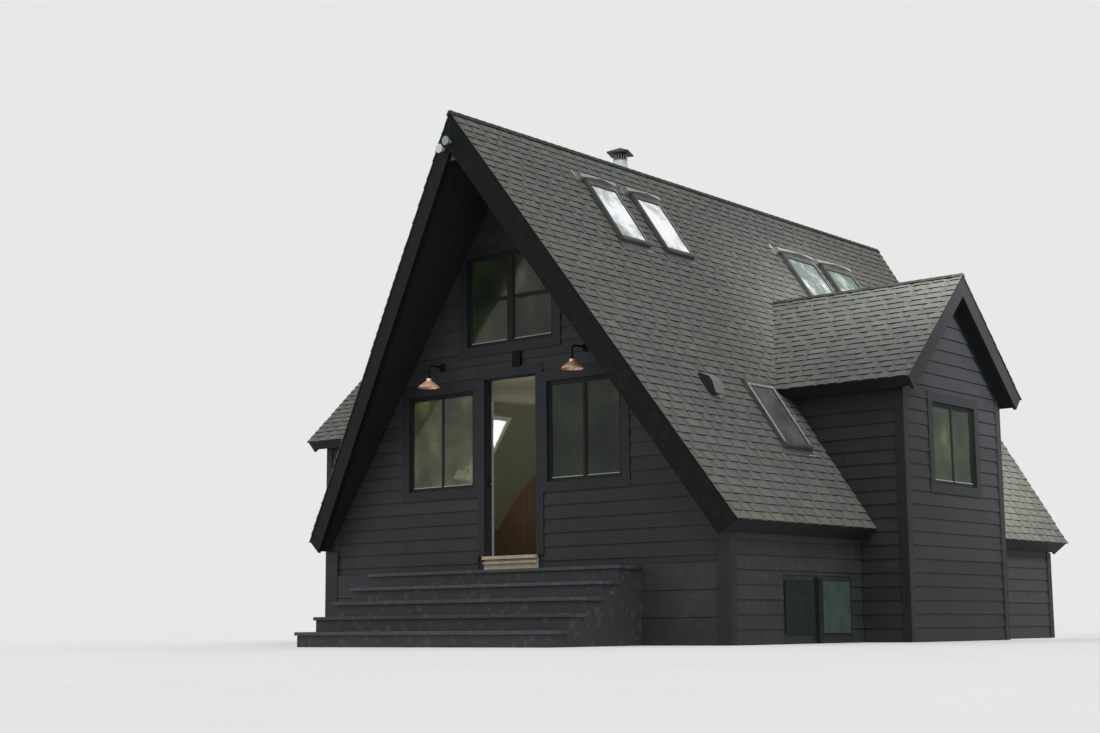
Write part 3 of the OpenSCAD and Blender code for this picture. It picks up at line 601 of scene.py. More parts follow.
def rect_hole(u0, v0, u1, v1):
    return [(-1, 0, -u0), (1, 0, u1), (0, -1, -v0), (0, 1, v1)]


# Meshes

def show(name, data):
    item = bpy.data.objects.new(name, data)
    bpy.context.scene.collection.objects.link(item)
    return item


def soften(piece, width):
    modifier = piece.modifiers.new("edges", "BEVEL")
    modifier.width = width
    modifier.limit_method = "ANGLE"


def upright(u, v, h):
    return Vector((u, v, h))


def local(matrix):
    return lambda u, v, h: matrix @ Vector((u, v, h))


class Pieces:
    """Closed pieces gathered in one mesh, each with a tone of its own."""

    def __init__(self, place=upright):
        self.place, self.verts, self.faces, self.tones = place, [], [], []

    def loft(self, rings, tone=0.5, sides=None):
        """A closed piece through rings that have the same number of points."""
        base, count = len(self.verts), len(rings[0])
        for ring in rings:
            self.verts += ring
        last = base + (len(rings) - 1) * count
        self.faces += [tuple(range(start, start + count)) for start in (base, last)]
        for low in range(base, last, count):
            high = low + count
            self.faces += [
                (low + i, low + (i + 1) % count, high + (i + 1) % count, high + i)
                for i in range(count)
            ]
        self.tones += [tone] * 2 + (sides or [tone] * count) * (len(rings) - 1)

    def sweep(self, section, v0, v1, u=0, h=0):
        """A section over local X and Z, from the point (u, h), run from v0 to v1."""
        self.loft([[self.place(u + a, v, h + b) for a, b in section] for v in (v0, v1)])

    def turn(self, section, steps, matrix):
        """A turned piece round local Z, from points of radius and height."""
        angles = [2 * pi * i / steps for i in range(steps)]
        self.loft([
            [matrix @ Vector((radius * cos(a), radius * sin(a), z)) for a in angles]
            for radius, z in section
        ])

    def add(self, outline, height, tone=0.5, foot=0.0, edge=None):
        """A piece over a flat outline, from its foot up to a height that may vary."""
        rise = height if callable(height) else (lambda u, v: height)
        low = [self.place(u, v, foot) for u, v in outline]
        high = [self.place(u, v, rise(u, v)) for u, v in outline]
        sides = edge and [edge(p, q) for p, q in zip(outline, outline[1:] + outline[:1])]
        self.loft([low, high], tone, sides)

    def bar(self, low, high, tone=0.5):
        """A box between two corners of local axes."""
        self.add(rect(*low[:2], *high[:2]), high[2], tone, low[2])

    def ring(self, x0, z0, x1, z1, width, y0, y1):
        """Four bars round a rectangle of local X and Z."""
        for z in (z0, z1 - width):
            self.bar((x0, y0, z), (x1, y1, z + width))
        for x in (x0, x1 - width):
            self.bar((x, y0, z0 + width), (x + width, y1, z1 - width))

    def rim(self, x0, y0, x1, y1, width, z0, z1, inset=0):
        """Four bars round a rectangle of local X and Y; an inset shortens those along X."""
        for x in (x0, x1 - width):
            self.bar((x, y0, z0), (x + width, y1, z1))
        for y in (y0, y1 - width):
            self.bar((x0 + inset, y, z0), (x1 - inset, y + width, z1))

    def make(self, name, material, slot, bevel=0.0, body="house"):
        mesh = bpy.data.meshes.new(name)
        mesh.from_pydata([tuple(v) for v in self.verts], [], self.faces)
        mesh.attributes.new("tone", "FLOAT", "FACE").data.foreach_set("value", self.tones)
        work = bmesh.new()
        work.from_mesh(mesh)
        bmesh.ops.recalc_face_normals(work, faces=work.faces)
        work.to_mesh(mesh)
        work.free()
        mesh.materials.append(material)
        piece = show(name, mesh)
        if bevel:
            soften(piece, bevel)
        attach(piece, body)
        return piece


# Places on the roof: down the slope, along the ridge, and out of the slope

def main_slope(side):
    return lambda s, y, h: Vector((side * (s * CP + h * SP), y, RIDGE - s * SP + h * CP))


def wing_slope(side, back):
    """Down the wing's slope, out along its ridge, and out of the slope."""
    turn = 1 if back else -1
    return lambda t, x, h: Vector((
        side * x, MID_Y + turn * (t * CW + h * SW), WING_RIDGE - t * SW + h * CW,
    ))


def prow_planes(lip):
    """Planes that keep what lies between the two prow edges of a main slope."""
    run = (APEX_OVER - EAVE_OVER) * CP / EAVE_X
    return [(run, -1, APEX_OVER + lip), (run, 1, HOUSE_LEN + APEX_OVER + lip)]


def wing_hole():
    """The wing's outline where it comes through a main slope, as planes over (s, y)."""
    fall = SP / TW
    top = (WING_RIDGE - RIDGE) / TW + VALLEY_GAP
    half = WING_HALF + VALLEY_GAP
    return [
        (-fall, 1, MID_Y + top), (-fall, -1, -MID_Y + top),
        (0, 1, MID_Y + half), (0, -1, -MID_Y + half),
    ]


def sky_holes(side):
    holes = []
    for s, y, width, hooded in SKYLIGHTS[side]:
        half = width / 2 + 0.004
        holes.append(rect_hole(s, y - half, s + SKY_LEN, y + half))
        if hooded:
            half = width / 2 + HOOD_SIDE + HOOD_FLANGE
            holes.append(rect_hole(s - HOOD_BACK + 0.02, y - half, s, y + half))
    return holes


def vent_holes():
    half = VENT_HALF + VENT_FLANGE
    return [
        rect_hole(VENT_S, VENT_Y - VENT_HALF, VENT_S + VENT_LEN, VENT_Y + VENT_HALF),
        rect_hole(VENT_S + 0.09, VENT_Y - half, VENT_FOOT, VENT_Y + half),
    ]


# Shingles

def wedge(butt, thick):
    """Height of a shingle that thins up the slope from its butt."""
    def rise(u, v):
        share = max(0.0, min(1.0, 1 - (butt - u) / COURSE))
        return thick * (THIN_END + (1 - THIN_END) * share)
    return rise


def lay_course(pieces, rng, butt, v0, v1, keep, holes):
    top = max(butt - COURSE - HEAD_LAP, 0.0)

    def lay(outline, thick, tone):
        # Butt faces: asphalt dark plus painted shade; the other sides: painted light.
        def edge(p, q):
            return BUTT_ASPHALT_AND_SHADE_TONE if min(p[0], q[0]) > butt - BUTT_BAND else min(1.0, tone + SIDE_PAINTED_LIGHT)

        for part in fit(outline, keep, holes):
            pieces.add(part, wedge(butt, thick), tone, edge=edge)

    v = v0 - rng.uniform(0, STRIP_LEN)
    while v < v1:
        tone = rng.uniform(0.34, 0.50)
        lay(rect(top, v + 0.001, butt, v + STRIP_LEN - 0.001), STRIP_T, tone)
        v += STRIP_LEN
    v = v0 - rng.uniform(0, 0.2)
    while v < v1:
        width = rng.uniform(*TAB_W)
        tone = min(0.9, max(0.38, rng.gauss(0.58, 0.09)))
        nick = rng.uniform(-0.0025, 0.0015)
        lay(rect(top, v, butt + nick, v + width), TAB_T, tone)
        v += width + rng.uniform(*TAB_GAP)


def shingle_slope(name, place, length, v0, v1, keep, holes, seed):
    pieces = Pieces(place)
    rng = random.Random(seed)
    butt = length + SHINGLE_LIP
    while butt > 0.04:
        lay_course(pieces, rng, butt, v0, v1, keep, holes)
        butt -= COURSE
    pieces.make(name, SHINGLES, "roof_shingles")


def main_shingles():
    for side, name in SIDES:
        holes = [wing_hole()] + sky_holes(side)
        holes += vent_holes() if side > 0 else [rect_hole(*FLUE_PLATE)]
        shingle_slope(
            "shingles_" + name, main_slope(side), SLOPE_LEN, -APEX_OVER - 0.1,
            HOUSE_LEN + APEX_OVER + 0.1, prow_planes(SHINGLE_LIP), holes, 11 + side,
        )


def wing_shingles():
    for side, reach, name in WINGS:
        keep = [(SW, -TP, WING_RIDGE - RIDGE + 0.004), (0, 1, reach + SHINGLE_LIP)]
        for back in (False, True):
            shingle_slope(
                f"wing_shingles_{name}_{'back' if back else 'front'}", wing_slope(side, back),
                WING_SLOPE_LEN, WING_START, reach + 0.1, keep, [], 31 + 2 * side + back,
            )


def cap_section(pitch, peak, thick):
    """Points across a ridge for a folded cap shingle, as offsets and heights."""
    c, s = cos(pitch), sin(pitch)
    points = []
    for rise, order in ((CAP_BASE + thick, (1, -1)), (CAP_BASE + CAP_FOOT, (-1, 1))):
        for side in order:
            low = (side * (CAP_W * c + rise * s), peak - CAP_W * s + rise * c)
            high = (side * CAP_BLUNT, peak + rise / c - CAP_BLUNT * s / c)
            points += [low, high] if side == order[0] else [high, low]
    return points


def ridge_shingles():
    pieces = Pieces()
    rng = random.Random(5)

    def run(start, stop, pitch, peak, place):
        at = start
        butt, head = (cap_section(pitch, peak, thick) for thick in (CAP_BUTT_T, CAP_HEAD_T))
        while at < stop - 0.02:
            end = min(at + CAP_LEN, stop)
            tone = min(0.16, max(0.03, rng.gauss(0.09, 0.03)))
            pieces.loft([[place(at, *p) for p in butt], [place(end, *p) for p in head]], tone)
            at += CAP_STEP

    front, back = -APEX_OVER - SHINGLE_LIP, HOUSE_LEN + APEX_OVER + SHINGLE_LIP
    run(front, back, PITCH, RIDGE, lambda along, x, z: Vector((x, along, z)))
    meet = (RIDGE - WING_RIDGE) / TP
    for side, reach, _ in WINGS:
        tip = reach + SHINGLE_LIP
        place = lambda along, y, z: Vector((side * (tip - along), MID_Y + y, z))
        run(0, tip - meet + 0.02, WING_PITCH, WING_RIDGE, place)
    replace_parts(pieces.make("ridge_shingles", SHINGLES, "roof_shingles"), "ridge_caps")


# Lap siding

def lay_boards(pieces, rng, u0, u1, z0, z1, keep, holes):
    """Courses of lap boards whose lower edges stand on the photographed lines."""
    keep = keep + [(1, 0, u1), (-1, 0, -u0)]
    line = LAP_LINE + floor((z0 - LAP_LINE) / LAP) * LAP
    while line < z1:
        low, high = max(line, z0), min(line + LAP + LAP_UNDER, z1)

        def rise(u, v):
            return LAP_FOOT + (LAP_HEAD - LAP_FOOT) * (v - line) / LAP

        u = u0 - rng.uniform(0.2, 3.4)
        while u < u1:
            tone = rng.uniform(0.25, 0.75)
            for part in fit(rect(u + 0.001, low, u + BOARD_LEN - 0.001, high), keep, holes):
                pieces.add(part, rise, tone)
            u += BOARD_LEN
        line += LAP


def trim_hole(x, w, z, h):
    """A window and the boards round it."""
    return rect_hole(x - TRIM_W, z - TRIM_W, x + w + TRIM_W, z + h + TRIM_W)


def gable_siding():
    peak = RIDGE - ROOF_T / CP
    keep = [(TP, 1, peak), (-TP, 1, peak)]
    x, w, z, h = SIDE_WIN
    holes = [trim_hole(x, w, z, h), trim_hole(-x - w, w, z, h), trim_hole(*UPPER_WIN)]
    doorway = [rect_hole(-CASING_X, 0, CASING_X, CASING_TOP)]
    for name, sign, y, more in (("front", -1, 0, doorway), ("back", 1, HOUSE_LEN, [])):
        pieces = Pieces(lambda u, v, h: Vector((u, y + sign * h, v)))
        lay_boards(
            pieces, random.Random(71 + sign), -GABLE_HALF, GABLE_HALF, PLATE_Z + GROUND_GAP,
            peak, keep, holes + more,
        )
        pieces.make(f"{name}_siding", SIDING, "charcoal_siding")


def wing_siding():
    room = [(TP, 1, RIDGE - ROOF_T / 2 / CP), (0, -1, -1.16)]
    base = rect_hole(0, 0, BASE_HALF + 0.021, 1.2)
    for side, reach, name in WINGS:
        rng = random.Random(91 + side)
        pieces = Pieces()
        end = reach - WING_OVER
        for sign in (-1, 1):
            pieces.place = lambda u, v, h: Vector((side * u, MID_Y + sign * (WING_HALF + h), v))
            keep = [(0, 1, WING_SOFFIT - WING_HALF * TW - 0.02)]
            holes = [room, base]
            if side < 0 and sign < 0:
                left = WING_WIN_X - WING_WIN_W / 2
                holes.append(trim_hole(left, WING_WIN_W, SILL_Z, WING_WIN_H))
            lay_boards(pieces, rng, WING_START, end, GROUND_GAP, 3.1, keep, holes)
        pieces.place = lambda u, v, h: Vector((side * (end + h), MID_Y + u, v))
        keep = [(TW, 1, WING_SOFFIT), (-TW, 1, WING_SOFFIT)]
        hole = trim_hole(-WING_WIN_W / 2, WING_WIN_W, SILL_Z, WING_WIN_H)
        lay_boards(pieces, rng, -WING_HALF, WING_HALF, GROUND_GAP, WING_SOFFIT, keep, [hole])
        pieces.make(f"wing_siding_{name}", SIDING, "charcoal_siding")


def base_siding():
    """Lap boards on the low walls under the eaves, and flat boards on the two end foundations."""
    front, back = -SKIRT_OUT, HOUSE_LEN + SKIRT_OUT
    for side, name in SIDES:
        pieces = Pieces(lambda u, v, h: Vector((side * (BASE_HALF + h), u, v)))
        holes = [rect_hole(MID_Y - WING_HALF, 0, MID_Y + WING_HALF, 2)]
        if side > 0:
            holes.append(rect_hole(0.94, 0.0, 2.35, 0.73))
        lay_boards(pieces, random.Random(101 + side), front, back, GROUND_GAP, 1.19, [], holes)
        pieces.make(f"base_siding_{name}", SKIRTING, "charcoal_skirting")
    pieces = Pieces()
    row_h, gap, thick = 0.282, 0.006, 0.016
    for y, sign in ENDS:
        pieces.place = lambda u, v, h: Vector((u, y + sign * h, v))
        for row in range(3):
            low = 0.004 + row * row_h
            high = low + row_h - gap
            pieces.bar((-GABLE_HALF, low, 0), (GABLE_HALF, high, thick), 0.3 + 0.2 * row)
    pieces.make("skirting_boards", SKIRTING, "charcoal_skirting", 0.003)


def corner_boards():
    pieces = Pieces()

    def corner(side, x, y, sign, inner, tops, tones):
        """Two boards that meet at an outer corner of the building."""
        far = ((side * (x - inner), y + sign * CORNER_T), (side * x, y - sign * CORNER_W))
        for (x0, y0), top, tone in zip(far, tops, tones):
            (x0, x1), (y0, y1) = sorted((x0, side * (x + CORNER_T))), sorted((y, y0))
            pieces.bar((x0, y0, GROUND_GAP), (x1, y1, top), tone)

    top = WING_SOFFIT - WING_HALF * TW
    for side, reach, _ in WINGS:
        for sign in (-1, 1):
            y = MID_Y + sign * WING_HALF
            tops = (top - 0.03, top - 0.01)
            corner(side, reach - WING_OVER, y, sign, CORNER_W, tops, (0.4, 0.6))
    for side, _ in SIDES:
        for y, sign in ENDS:
            inner = BASE_HALF - GABLE_HALF
            corner(side, BASE_HALF, y, sign, inner, (BASE_TOP, BASE_TOP), (0.5, 0.5))
    pieces.make("corner_boards", TRIM, "charcoal_trim", 0.003)


def soffit_boards():
    pieces = Pieces()
    rng = random.Random(7)
    keep = prow_planes(-BARGE_T - 0.003) + [(1, 0, SLOPE_LEN - 0.01)]
    for side, _ in SIDES:
        top = main_slope(side)
        pieces.place = lambda s, y, h: top(s, y, -ROOF_T - h)
        for sign in (-1, 1):
            for i in range(int(APEX_OVER / SOFFIT_W) + 1):
                y0, y1 = -0.03 - (i + 1) * SOFFIT_W, -0.033 - i * SOFFIT_W
                if sign > 0:
                    y0, y1 = HOUSE_LEN - y1, HOUSE_LEN - y0
                for part in fit(rect(ROOF_T * TP, y0, SLOPE_LEN, y1), keep, []):
                    pieces.add(part, SOFFIT_T, rng.uniform(0.2, 0.8))
    pieces.make("soffit_boards", SOFFIT, "charcoal_trim")
    lo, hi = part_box("ridge_beams")
    ends = Pieces()
    half, thick = 0.078, 0.005
    for y0, y1 in ((lo.y - thick, lo.y), (hi.y, hi.y + thick)):
        ends.bar((-half, y0, lo.z + 0.002), (half, y1, lo.z + half))
    ends.make("beam_end_boards", KERB, "charcoal_trim")


# Windows

def window_places():
    """Each window as its place (X across, Y inwards, Z up), width, height and middle post."""
    x, w, z, h = SIDE_WIN
    half = WING_WIN_W / 2
    gables = ((*SIDE_WIN, POST_W), (-x - w, w, z, h, MULLION_W), (*UPPER_WIN, UPPER_POST_W))
    windows = [
        (at, quarters, w, h, post) for x, w, z, h, post in gables
        for at, quarters in (((x, 0, z), 0), ((x + w, HOUSE_LEN, z), 2))
    ] + [
        ((x, y, SILL_Z), quarters, WING_WIN_W, WING_WIN_H, MULLION_W) for x, y, quarters in (
            (-WING_WIN_X - half, MID_Y - WING_HALF, 0),
            (WING_RIGHT - WING_OVER, MID_Y - half, 1), (WING_OVER - WING_LEFT, MID_Y + half, -1),
        )
    ]
    for at, quarters, width, height, post in windows:
        turn = Matrix.Rotation(quarters * pi / 2, 4, "Z")
        yield local(Matrix.Translation(at) @ turn), width, height, post


def window_details():
    sashes, highlight_beads = Pieces(), Pieces()
    for place, w, h, post in window_places():
        sashes.place = highlight_beads.place = place
        pane_w = (w - 2 * FRAME_W - post) / 2
        rows = [(FRAME_W, h - FRAME_W)]
        if post == UPPER_POST_W:
            rows = [(FRAME_W, h / 2 - MUNTIN_W / 2), (h / 2 + MUNTIN_W / 2, h - FRAME_W)]
        for x0 in (FRAME_W, FRAME_W + pane_w + post):
            for z0, z1 in rows:
                sashes.ring(x0, z0, x0 + pane_w, z1, SASH_W, SASH_Y, GLASS_Y)
            # A bead along the pane's foot: a real part, its pale colour a painted highlight.
            low = (x0 + SASH_W, SASH_Y - 0.002, FRAME_W + 0.002)
            highlight_beads.bar(low, (x0 + pane_w - SASH_W, GLASS_Y, FRAME_W + 0.002 + BEAD_H))
    sashes.make("window_sashes", SASH, "window_frame", 0.002)
    highlight_beads.make("window_highlight_beads", BEAD_HIGHLIGHT, "window_frame", 0.002)


# Doorway

def door_details():
    spin = Matrix.Rotation(DOOR_OPEN, 4, "Z")
    place = local(Matrix.Translation(HINGE) @ spin @ Matrix.Translation(-HINGE))
    mouldings = Pieces(place)
    x0, x1 = HINGE.x - LEAF_W + STILE_W, HINGE.x - STILE_W
    middle = (x0 + x1) / 2
    fields = ((x0 + FIELD_IN, middle - FIELD_GAP), (middle + FIELD_GAP, x1 - FIELD_IN))
    for z0, z1 in LEAF_PANELS:
        for face, out in ((WALL_T - LEAF_T, -1), (WALL_T, 1)):
            y0, y1 = sorted((face + out * 0.002, face - out * 0.010))
            edges = (x0 + 0.002, z0 + 0.002, x1 - 0.002, z1 - 0.002)
            mouldings.ring(*edges, MOULDING_W, y0, y1)
            y0, y1 = sorted((face - out * 0.008, face - out * 0.002))
            for u0, u1 in fields:
                mouldings.bar((u0, y0, z0 + FIELD_IN), (u1, y1, z1 - FIELD_IN))
    mouldings.make("door_mouldings", DOOR, "door_paint", 0.003, "door")

    plates = Pieces(place)
    x, y = HINGE.x - LEAF_W, WALL_T - LEAF_T / 2
    plates.bar((x - 0.001, y - 0.013, KNOB_Z - 0.06), (x + 0.001, y + 0.013, KNOB_Z + 0.06))
    plates.make("latch_plate", NICKEL, "door_hardware", body="door")

    turn = Matrix.Translation((-DOOR_HALF, 0.058, KNOB_Z - 0.008)) @ Matrix.Rotation(pi / 2, 4, "Y")
    keeper, screws = Pieces(), Pieces()
    oval = turn @ Matrix.Diagonal((0.058, 0.023, 1, 1))
    keeper.turn([(1, 0), (1, 0.009), (0.8, 0.014)], 24, oval)
    keeper.make("latch_keeper", BLACK, "light_housing")
    for z, radius in ((0.022, 0.0045), (-0.028, 0.0075)):
        spot = turn @ Matrix.Translation((-z, 0.002, 0.012))
        screws.turn([(radius, 0), (radius, 0.003), (radius * 0.5, 0.005)], 14, spot)
    screws.make("latch_screws", NICKEL, "door_hardware")


# Rooms: what is seen through the doorway and the windows

def loft_undersides():
    under = Pieces()
    top, count = LOFT_Z - 0.001, 10
    half = (RIDGE - LINING_DEPTH / CP - LOFT_Z) / TP - 0.006
    start, end = WALL_T + 0.004, MID_Y - WING_HALF - 0.004
    width = (end - start) / count
    for first in (start, HOUSE_LEN - end):
        for i in range(count):
            y = first + i * width
            under.bar((-half, y, top - 0.010), (half, y + width - 0.003, top))
    under.make("loft_undersides", LOFT_BOARD, "ceiling_lining")


def wing_returns_and_shafts():
    """The lining's returns at the wings' mouths, and the lining of each skylight's shaft."""
    returns, shafts = Pieces(), Pieces()
    reveal_t, edge_w = 0.006, 0.06
    for side, _ in SIDES:
        shafts.place = main_slope(side)
        returns.place = lambda s, y, h: shafts.place(s, y, -LINING_DEPTH - h)
        for flip in (lambda y: y, lambda y: HOUSE_LEN - y):
            edge = flip(RETURN_Y)
            outline = [(s, flip(y)) for s, y in WING_RETURN]
            for a, b in zip(outline[:-1], outline[1:]):
                returns.add([a, b, (b[0], edge), (a[0], edge)], 0.0015, foot=0.0005)
        for s, y, width, _ in SKYLIGHTS[side]:
            for grow, thick, low, high, inset in (
                (-KERB_W, reveal_t, 0.001 - LINING_DEPTH, 0.035, 0),
                (edge_w - KERB_W, edge_w, -LINING_DEPTH - 0.012, -LINING_DEPTH - 0.001, edge_w),
            ):
                half = width / 2 + grow
                edges = (s - grow, y - half, s + SKY_LEN + grow, y + half)
                shafts.rim(*edges, thick, low, high, inset)
    returns.make("wing_returns", CEILING, "ceiling_lining")
    shafts.make("skylight_shafts", SHAFT_PAINT, "ceiling_lining")


def wing_panelling():
    panels = Pieces()
    face = MID_Y + WING_HALF - WALL_T - 0.002
    head = WING_SOFFIT - (WING_HALF - WALL_T) * TW - 0.03
    x, end = -BASE_HALF - 0.01, -WING_LEFT + WING_OVER + WALL_T + 0.004
    step, gap = 0.14, 0.003
    while x > end:
        low = max(x - step + gap, end)
        panels.bar((low, face - 0.012, FLOOR_Z + 0.001), (x, face, head))
        x -= step
    panels.make("wing_panelling", PANELLING, "floor_boards", 0.002)


# Steps

def step_details():
    boards = Pieces()
    rng = random.Random(3)
    for i in range(5):
        front = -TOP_RUN - i * STEP_RUN
        back = -SKIRT_OUT if i == 0 else front + STEP_RUN
        top = FLOOR_Z - (i + 1) * RISER
        count = 3 if i == 0 else 2
        width = (back - front + NOSING) / count
        half = STEP_HALF + NOSING
        for j in range(count):
            y0 = front - NOSING + j * width
            sag = rng.uniform(-0.0015, 0.0015)
            high = (half, y0 + width - 0.006, top + sag)
            boards.bar((-half, y0, top - TREAD_T), high, rng.random())
    tread = boards.make("tread_boards", STEPS, "step_boards", 0.004)
    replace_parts(tread, "step_treads")


# Skylights, flue and vent

def dress_skylight(groups, s, y, width, hooded):
    caps, edging, metal, highlight_patches, flashing, rubber = groups
    half, head, foot = width / 2, s + 0.002, s + SKY_LEN
    glass, board, top = half - KERB_W, half - 0.037, KERB_H
    rim = head + (HOODED_HEAD_W if hooded else HEAD_W)
    start, end = head if hooded else rim, foot - 0.04
    for group, near, far, u0, u1, low, high in (
        (edging if hooded else metal, glass + 0.003, half + 0.002, start, end, top, top + 0.004),
        (caps, half, half + 0.004, head, foot, 0.012, top),
        (flashing, half + 0.004, half + 0.03, head, foot, 0.0, 0.003),
    ):
        for v0, v1 in ((y - far, y - near), (y + near, y + far)):
            group.bar((u0, v0, low), (u1, v1, high))
    caps.bar((head, y - board, top - 0.006), (rim, y + board, top + 0.006))
    if hooded:
        metal.bar((head, y + glass + 0.004, top), (end, y + glass + 0.016, top + 0.007))
        edging.bar((rim, y - board, top - 0.006), (rim + 0.010, y + board, top))
        # Small patches of flashing beside the hood, carrying a painted highlight.
        u = head - HOOD_BACK - 0.03
        for v in (y - half - 0.10, y + half + 0.04):
            highlight_patches.bar((u, v, 0.004), (u + 0.07, v + 0.06, 0.0065))
    else:
        metal.bar((rim, y - half, top), (head + 0.094, y + half, top + 0.007))
    caps.sweep(SKY_NOSE, y - half - 0.006, y + half + 0.006, foot, top)
    flashing.sweep(SKY_APRON, y - half - 0.03, y + half + 0.03, foot)
    v = y + half
    metal.bar((foot + 0.060, v - 0.09, 0.016), (foot + 0.080, v + 0.05, 0.0185))
    edges = (s + KERB_W, y - glass, foot - KERB_W, y + glass)
    rubber.rim(*edges, 0.01, top - 0.0075, top - 0.002)


def skylight_details():
    groups = [Pieces() for _ in range(6)]
    for side, _ in SIDES:
        for group in groups:
            group.place = main_slope(side)
        for skylight in SKYLIGHTS[side]:
            dress_skylight(groups, *skylight)
    for group, (name, material, slot, bevel) in zip(groups, (
        ("cladding", KERB, "kerb", 0.002), ("edging", KERB_DARK, "kerb", 0.0015),
        # the patches carry painted highlights
        ("strips", SHEET, "metal", 0.0015), ("patches", HIGHLIGHT_SHEET, "metal", 0),
        ("flashings", FLASHING, "metal", 0), ("gaskets", BLACK, "kerb", 0),
    )):
        group.make("skylight_" + name, material, "skylight_" + slot, bevel)


def flue_details():
    bands, screen, cover = Pieces(), Pieces(), Pieces()
    centre = Matrix.Translation(FLUE)
    for z in (RIDGE - 0.30, RIDGE + 0.10):
        bands.turn(rect(FLUE_R, z, FLUE_R + 0.004, z + 0.02), 32, centre)
    bands.make("flue_bands", FLUE_METAL, "flue_metal")
    count, wire = 16, 0.0045
    low = FLUE_TOP + FLUE_GAP
    for i in range(count):
        turn = Matrix.Rotation(2 * pi * i / count, 4, "Z")
        post = Matrix.Translation(FLUE + turn @ Vector((FLUE_R - 0.006, 0, 0)))
        screen.turn([(wire, FLUE_TOP - 0.004), (wire, low + 0.002)], 6, post)
    screen.turn(rect(FLUE_R - 0.018, FLUE_TOP, FLUE_R + 0.001, FLUE_TOP + 0.008), 32, centre)
    screen.make("flue_screen", SCREEN, "flue_metal")
    cover.turn([
        (FLUE_CAP_R - 0.02, low - 0.002), (FLUE_CAP_R + 0.002, low - 0.002),
        (FLUE_CAP_R + 0.002, low + 0.0135), (0.013, low + 0.0885), (0.006, low + 0.0890),
    ], 4, centre @ Matrix.Rotation(FLUE_CAP_TURN, 4, "Z"))
    cover.make("flue_cap_cover", FLUE_DARK, "flue_metal")
    plate = Pieces(main_slope(-1))
    plate.add(rect(*FLUE_PLATE), 0.006)
    plate.make("flue_flashing", FLASHING, "flue_metal")


def vent_details():
    slats, lip, skirt = (Pieces(main_slope(1)) for _ in range(3))
    half, count = VENT_HALF - 0.01, 5
    for i in range(count):
        share = (i + 0.5) / count
        u = VENT_S + 0.222 + share * 0.05
        h = 0.012 + share * 0.078
        outline = rect(u - 0.012, VENT_Y - half, u + 0.004, VENT_Y + half)
        slats.add(outline, lambda a, b: h + 0.003 - (a - u) * 0.5, foot=h - 0.002)
    slats.make("vent_slats", BLACK, "flue_metal")
    end, edge = VENT_FOOT, VENT_Y + VENT_HALF + VENT_FLANGE
    # The vent's lip carries a painted highlight along the flange's edge.
    lip.bar((end - 0.008, VENT_Y - 0.02, 0.004), (end, edge, 0.010))
    lip.bar((end - 0.10, edge - 0.008, 0.004), (end - 0.008, edge, 0.010))
    lip.make("vent_lip", HIGHLIGHT_SHEET, "skylight_metal")
    near, far = 0.0005, 0.005
    for v0, v1 in ((-VENT_HALF + near, -VENT_HALF + far), (VENT_HALF - far, VENT_HALF - near)):
        skirt.sweep(VENT_SKIRT, VENT_Y + v0, VENT_Y + v1, VENT_S)
    skirt.sweep(VENT_TOP, VENT_Y - VENT_HALF, VENT_Y + VENT_HALF, VENT_S)
    skirt.make("vent_skirt", VENT_METAL, "flue_metal")


# Lamps

def lamp_details():
    bulbs, fittings = Pieces(), Pieces()
    lo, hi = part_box("lamp_shades")
    for x in LAMPS:
        centre = Matrix.Translation((x, (lo.y + hi.y) / 2, lo.z))
        back = Matrix.Translation((x, 0, LAMP_Z)) @ Matrix.Rotation(pi / 2, 4, "X")
        bulbs.turn(BULB_SECTION, 20, centre)
        fittings.turn(COLLAR_SECTION, 24, centre)
        fittings.turn(PLATE_SECTION, 28, back)
    bulbs.make("lamp_bulbs", BULB, "flood_glass")
    fittings.make("lamp_fittings", BLACK, "light_housing")


# Stage, lights and camera

def world_and_stage():
    scene = bpy.context.scene
    scene.view_settings.view_transform = "Standard"
    world = bpy.data.worlds.new("studio")
    scene.world = world
    world.use_nodes = True
    world.node_tree.nodes.clear()
    w = Graph("studio", world.node_tree)
    path = w.node("ShaderNodeLightPath", {}).outputs
    seen = path["Is Camera Ray"]
    for name in ("Is Glossy Ray", "Is Transmission Ray"):
        seen = w.node("ShaderNodeMath", {0: seen, 1: path[name]}, operation="MAXIMUM").outputs[0]
    light, shown = (
        w.node("ShaderNodeBackground", {"Color": color, "Strength": strength}).outputs[0]
        for color, strength in (((0.93, 0.96, 1.0), 0.62), ((0.80, 0.81, 0.81), 1.0))
    )
    mixed = w.node("ShaderNodeMixShader", {0: seen, 1: light, 2: shown}).outputs[0]
    w.node("ShaderNodeOutputWorld", {"Surface": mixed})

    g = Graph("stage_floor")
    g.set("Base Color", g.blend(g.noise(0.6, 3), (0.70, 0.70, 0.69), (0.73, 0.73, 0.72), 0.3, 0.7))
    g.set("Roughness", 0.9)
    mesh = bpy.data.meshes.new("stage_floor")
    reach = 300
    corners = [(x, y, 0) for x, y in rect(-reach, -reach, reach, reach)]
    mesh.from_pydata(corners, [], [(0, 1, 2, 3)])
    mesh.materials.append(g.mat)
    floor = show("stage_floor", mesh)


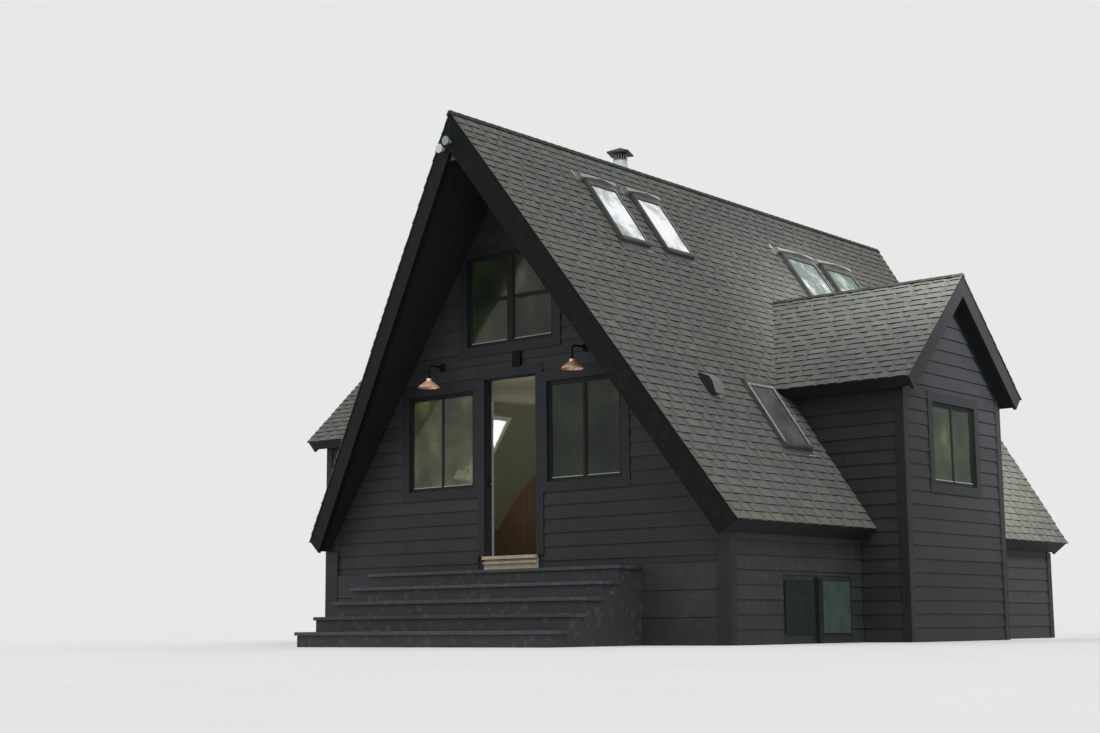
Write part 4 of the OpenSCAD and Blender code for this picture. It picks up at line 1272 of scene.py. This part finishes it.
def add_light(name, kind, energy, color, place, target, **settings):
    data = bpy.data.lights.new(name, kind)
    for key, value in {"energy": energy, "color": color, **settings}.items():
        setattr(data, key, value)
    holder = show(name, data)
    holder.location = place
    holder.rotation_euler = (Vector(target) - Vector(place)).to_track_quat("-Z", "Y").to_euler()


def lights():
    origin = (0, 0, 0)
    add_light("key", "SUN", 1.9, (1.0, 0.98, 0.95), origin, (-0.55, 0.40, -0.80), angle=radians(35))
    add_light("fill", "SUN", 0.35, (0.95, 0.98, 1.0), origin, (0.6, 0.6, -0.35), angle=radians(60))
    low_sky = main_slope(-1)
    shaft = (low_sky(4.03, 1.725, 0.02), low_sky(4.03, 1.725, -1.0))
    for name, energy, size, color, place, target, spread in (
        ("room", 12, 1.2, (1.0, 0.98, 0.86), (0.8, 3.2, 1.5), (-1.5, 1.7, 3.0), 180),
        ("shaft", 6.0, 0.42, (0.98, 1.0, 0.90), *shaft, 180),
        ("wing", 2.6, 0.8, (1.0, 0.92, 0.80), (-4.2, 3.3, 2.6), (-3.6, 4.8, 1.9), 180),
        ("rear_roof", 140, 2.0, (1.0, 0.99, 0.96), (10.0, 1.5, 9.5), (2.6, 5.4, 3.6), 32),
    ):
        add_light(name, "AREA", energy, color, place, target, size=size, spread=radians(spread))


def camera():
    data = bpy.data.cameras.new("camera")
    data.sensor_width, data.lens = 36, CAMERA_LENS
    holder = show("camera", data)
    holder.matrix_world = (
        Matrix.Translation(CAMERA_AT) @ Matrix.Rotation(YAW, 4, "Z")
        @ Matrix.Rotation(pi / 2 + TILT, 4, "X") @ Matrix.Rotation(ROLL, 4, "Z")
    )
    bpy.context.scene.camera = holder


camera()
dress_nodes()
world_and_stage()
lights()
for build in (
    main_shingles, wing_shingles, ridge_shingles, gable_siding, wing_siding, base_siding,
    corner_boards, soffit_boards, window_details, door_details, loft_undersides,
    wing_returns_and_shafts, wing_panelling, step_details, skylight_details, flue_details,
    vent_details, lamp_details,
):
    build()
for node in SOFT_NODES.split():
    soften(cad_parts[node], 0.003)
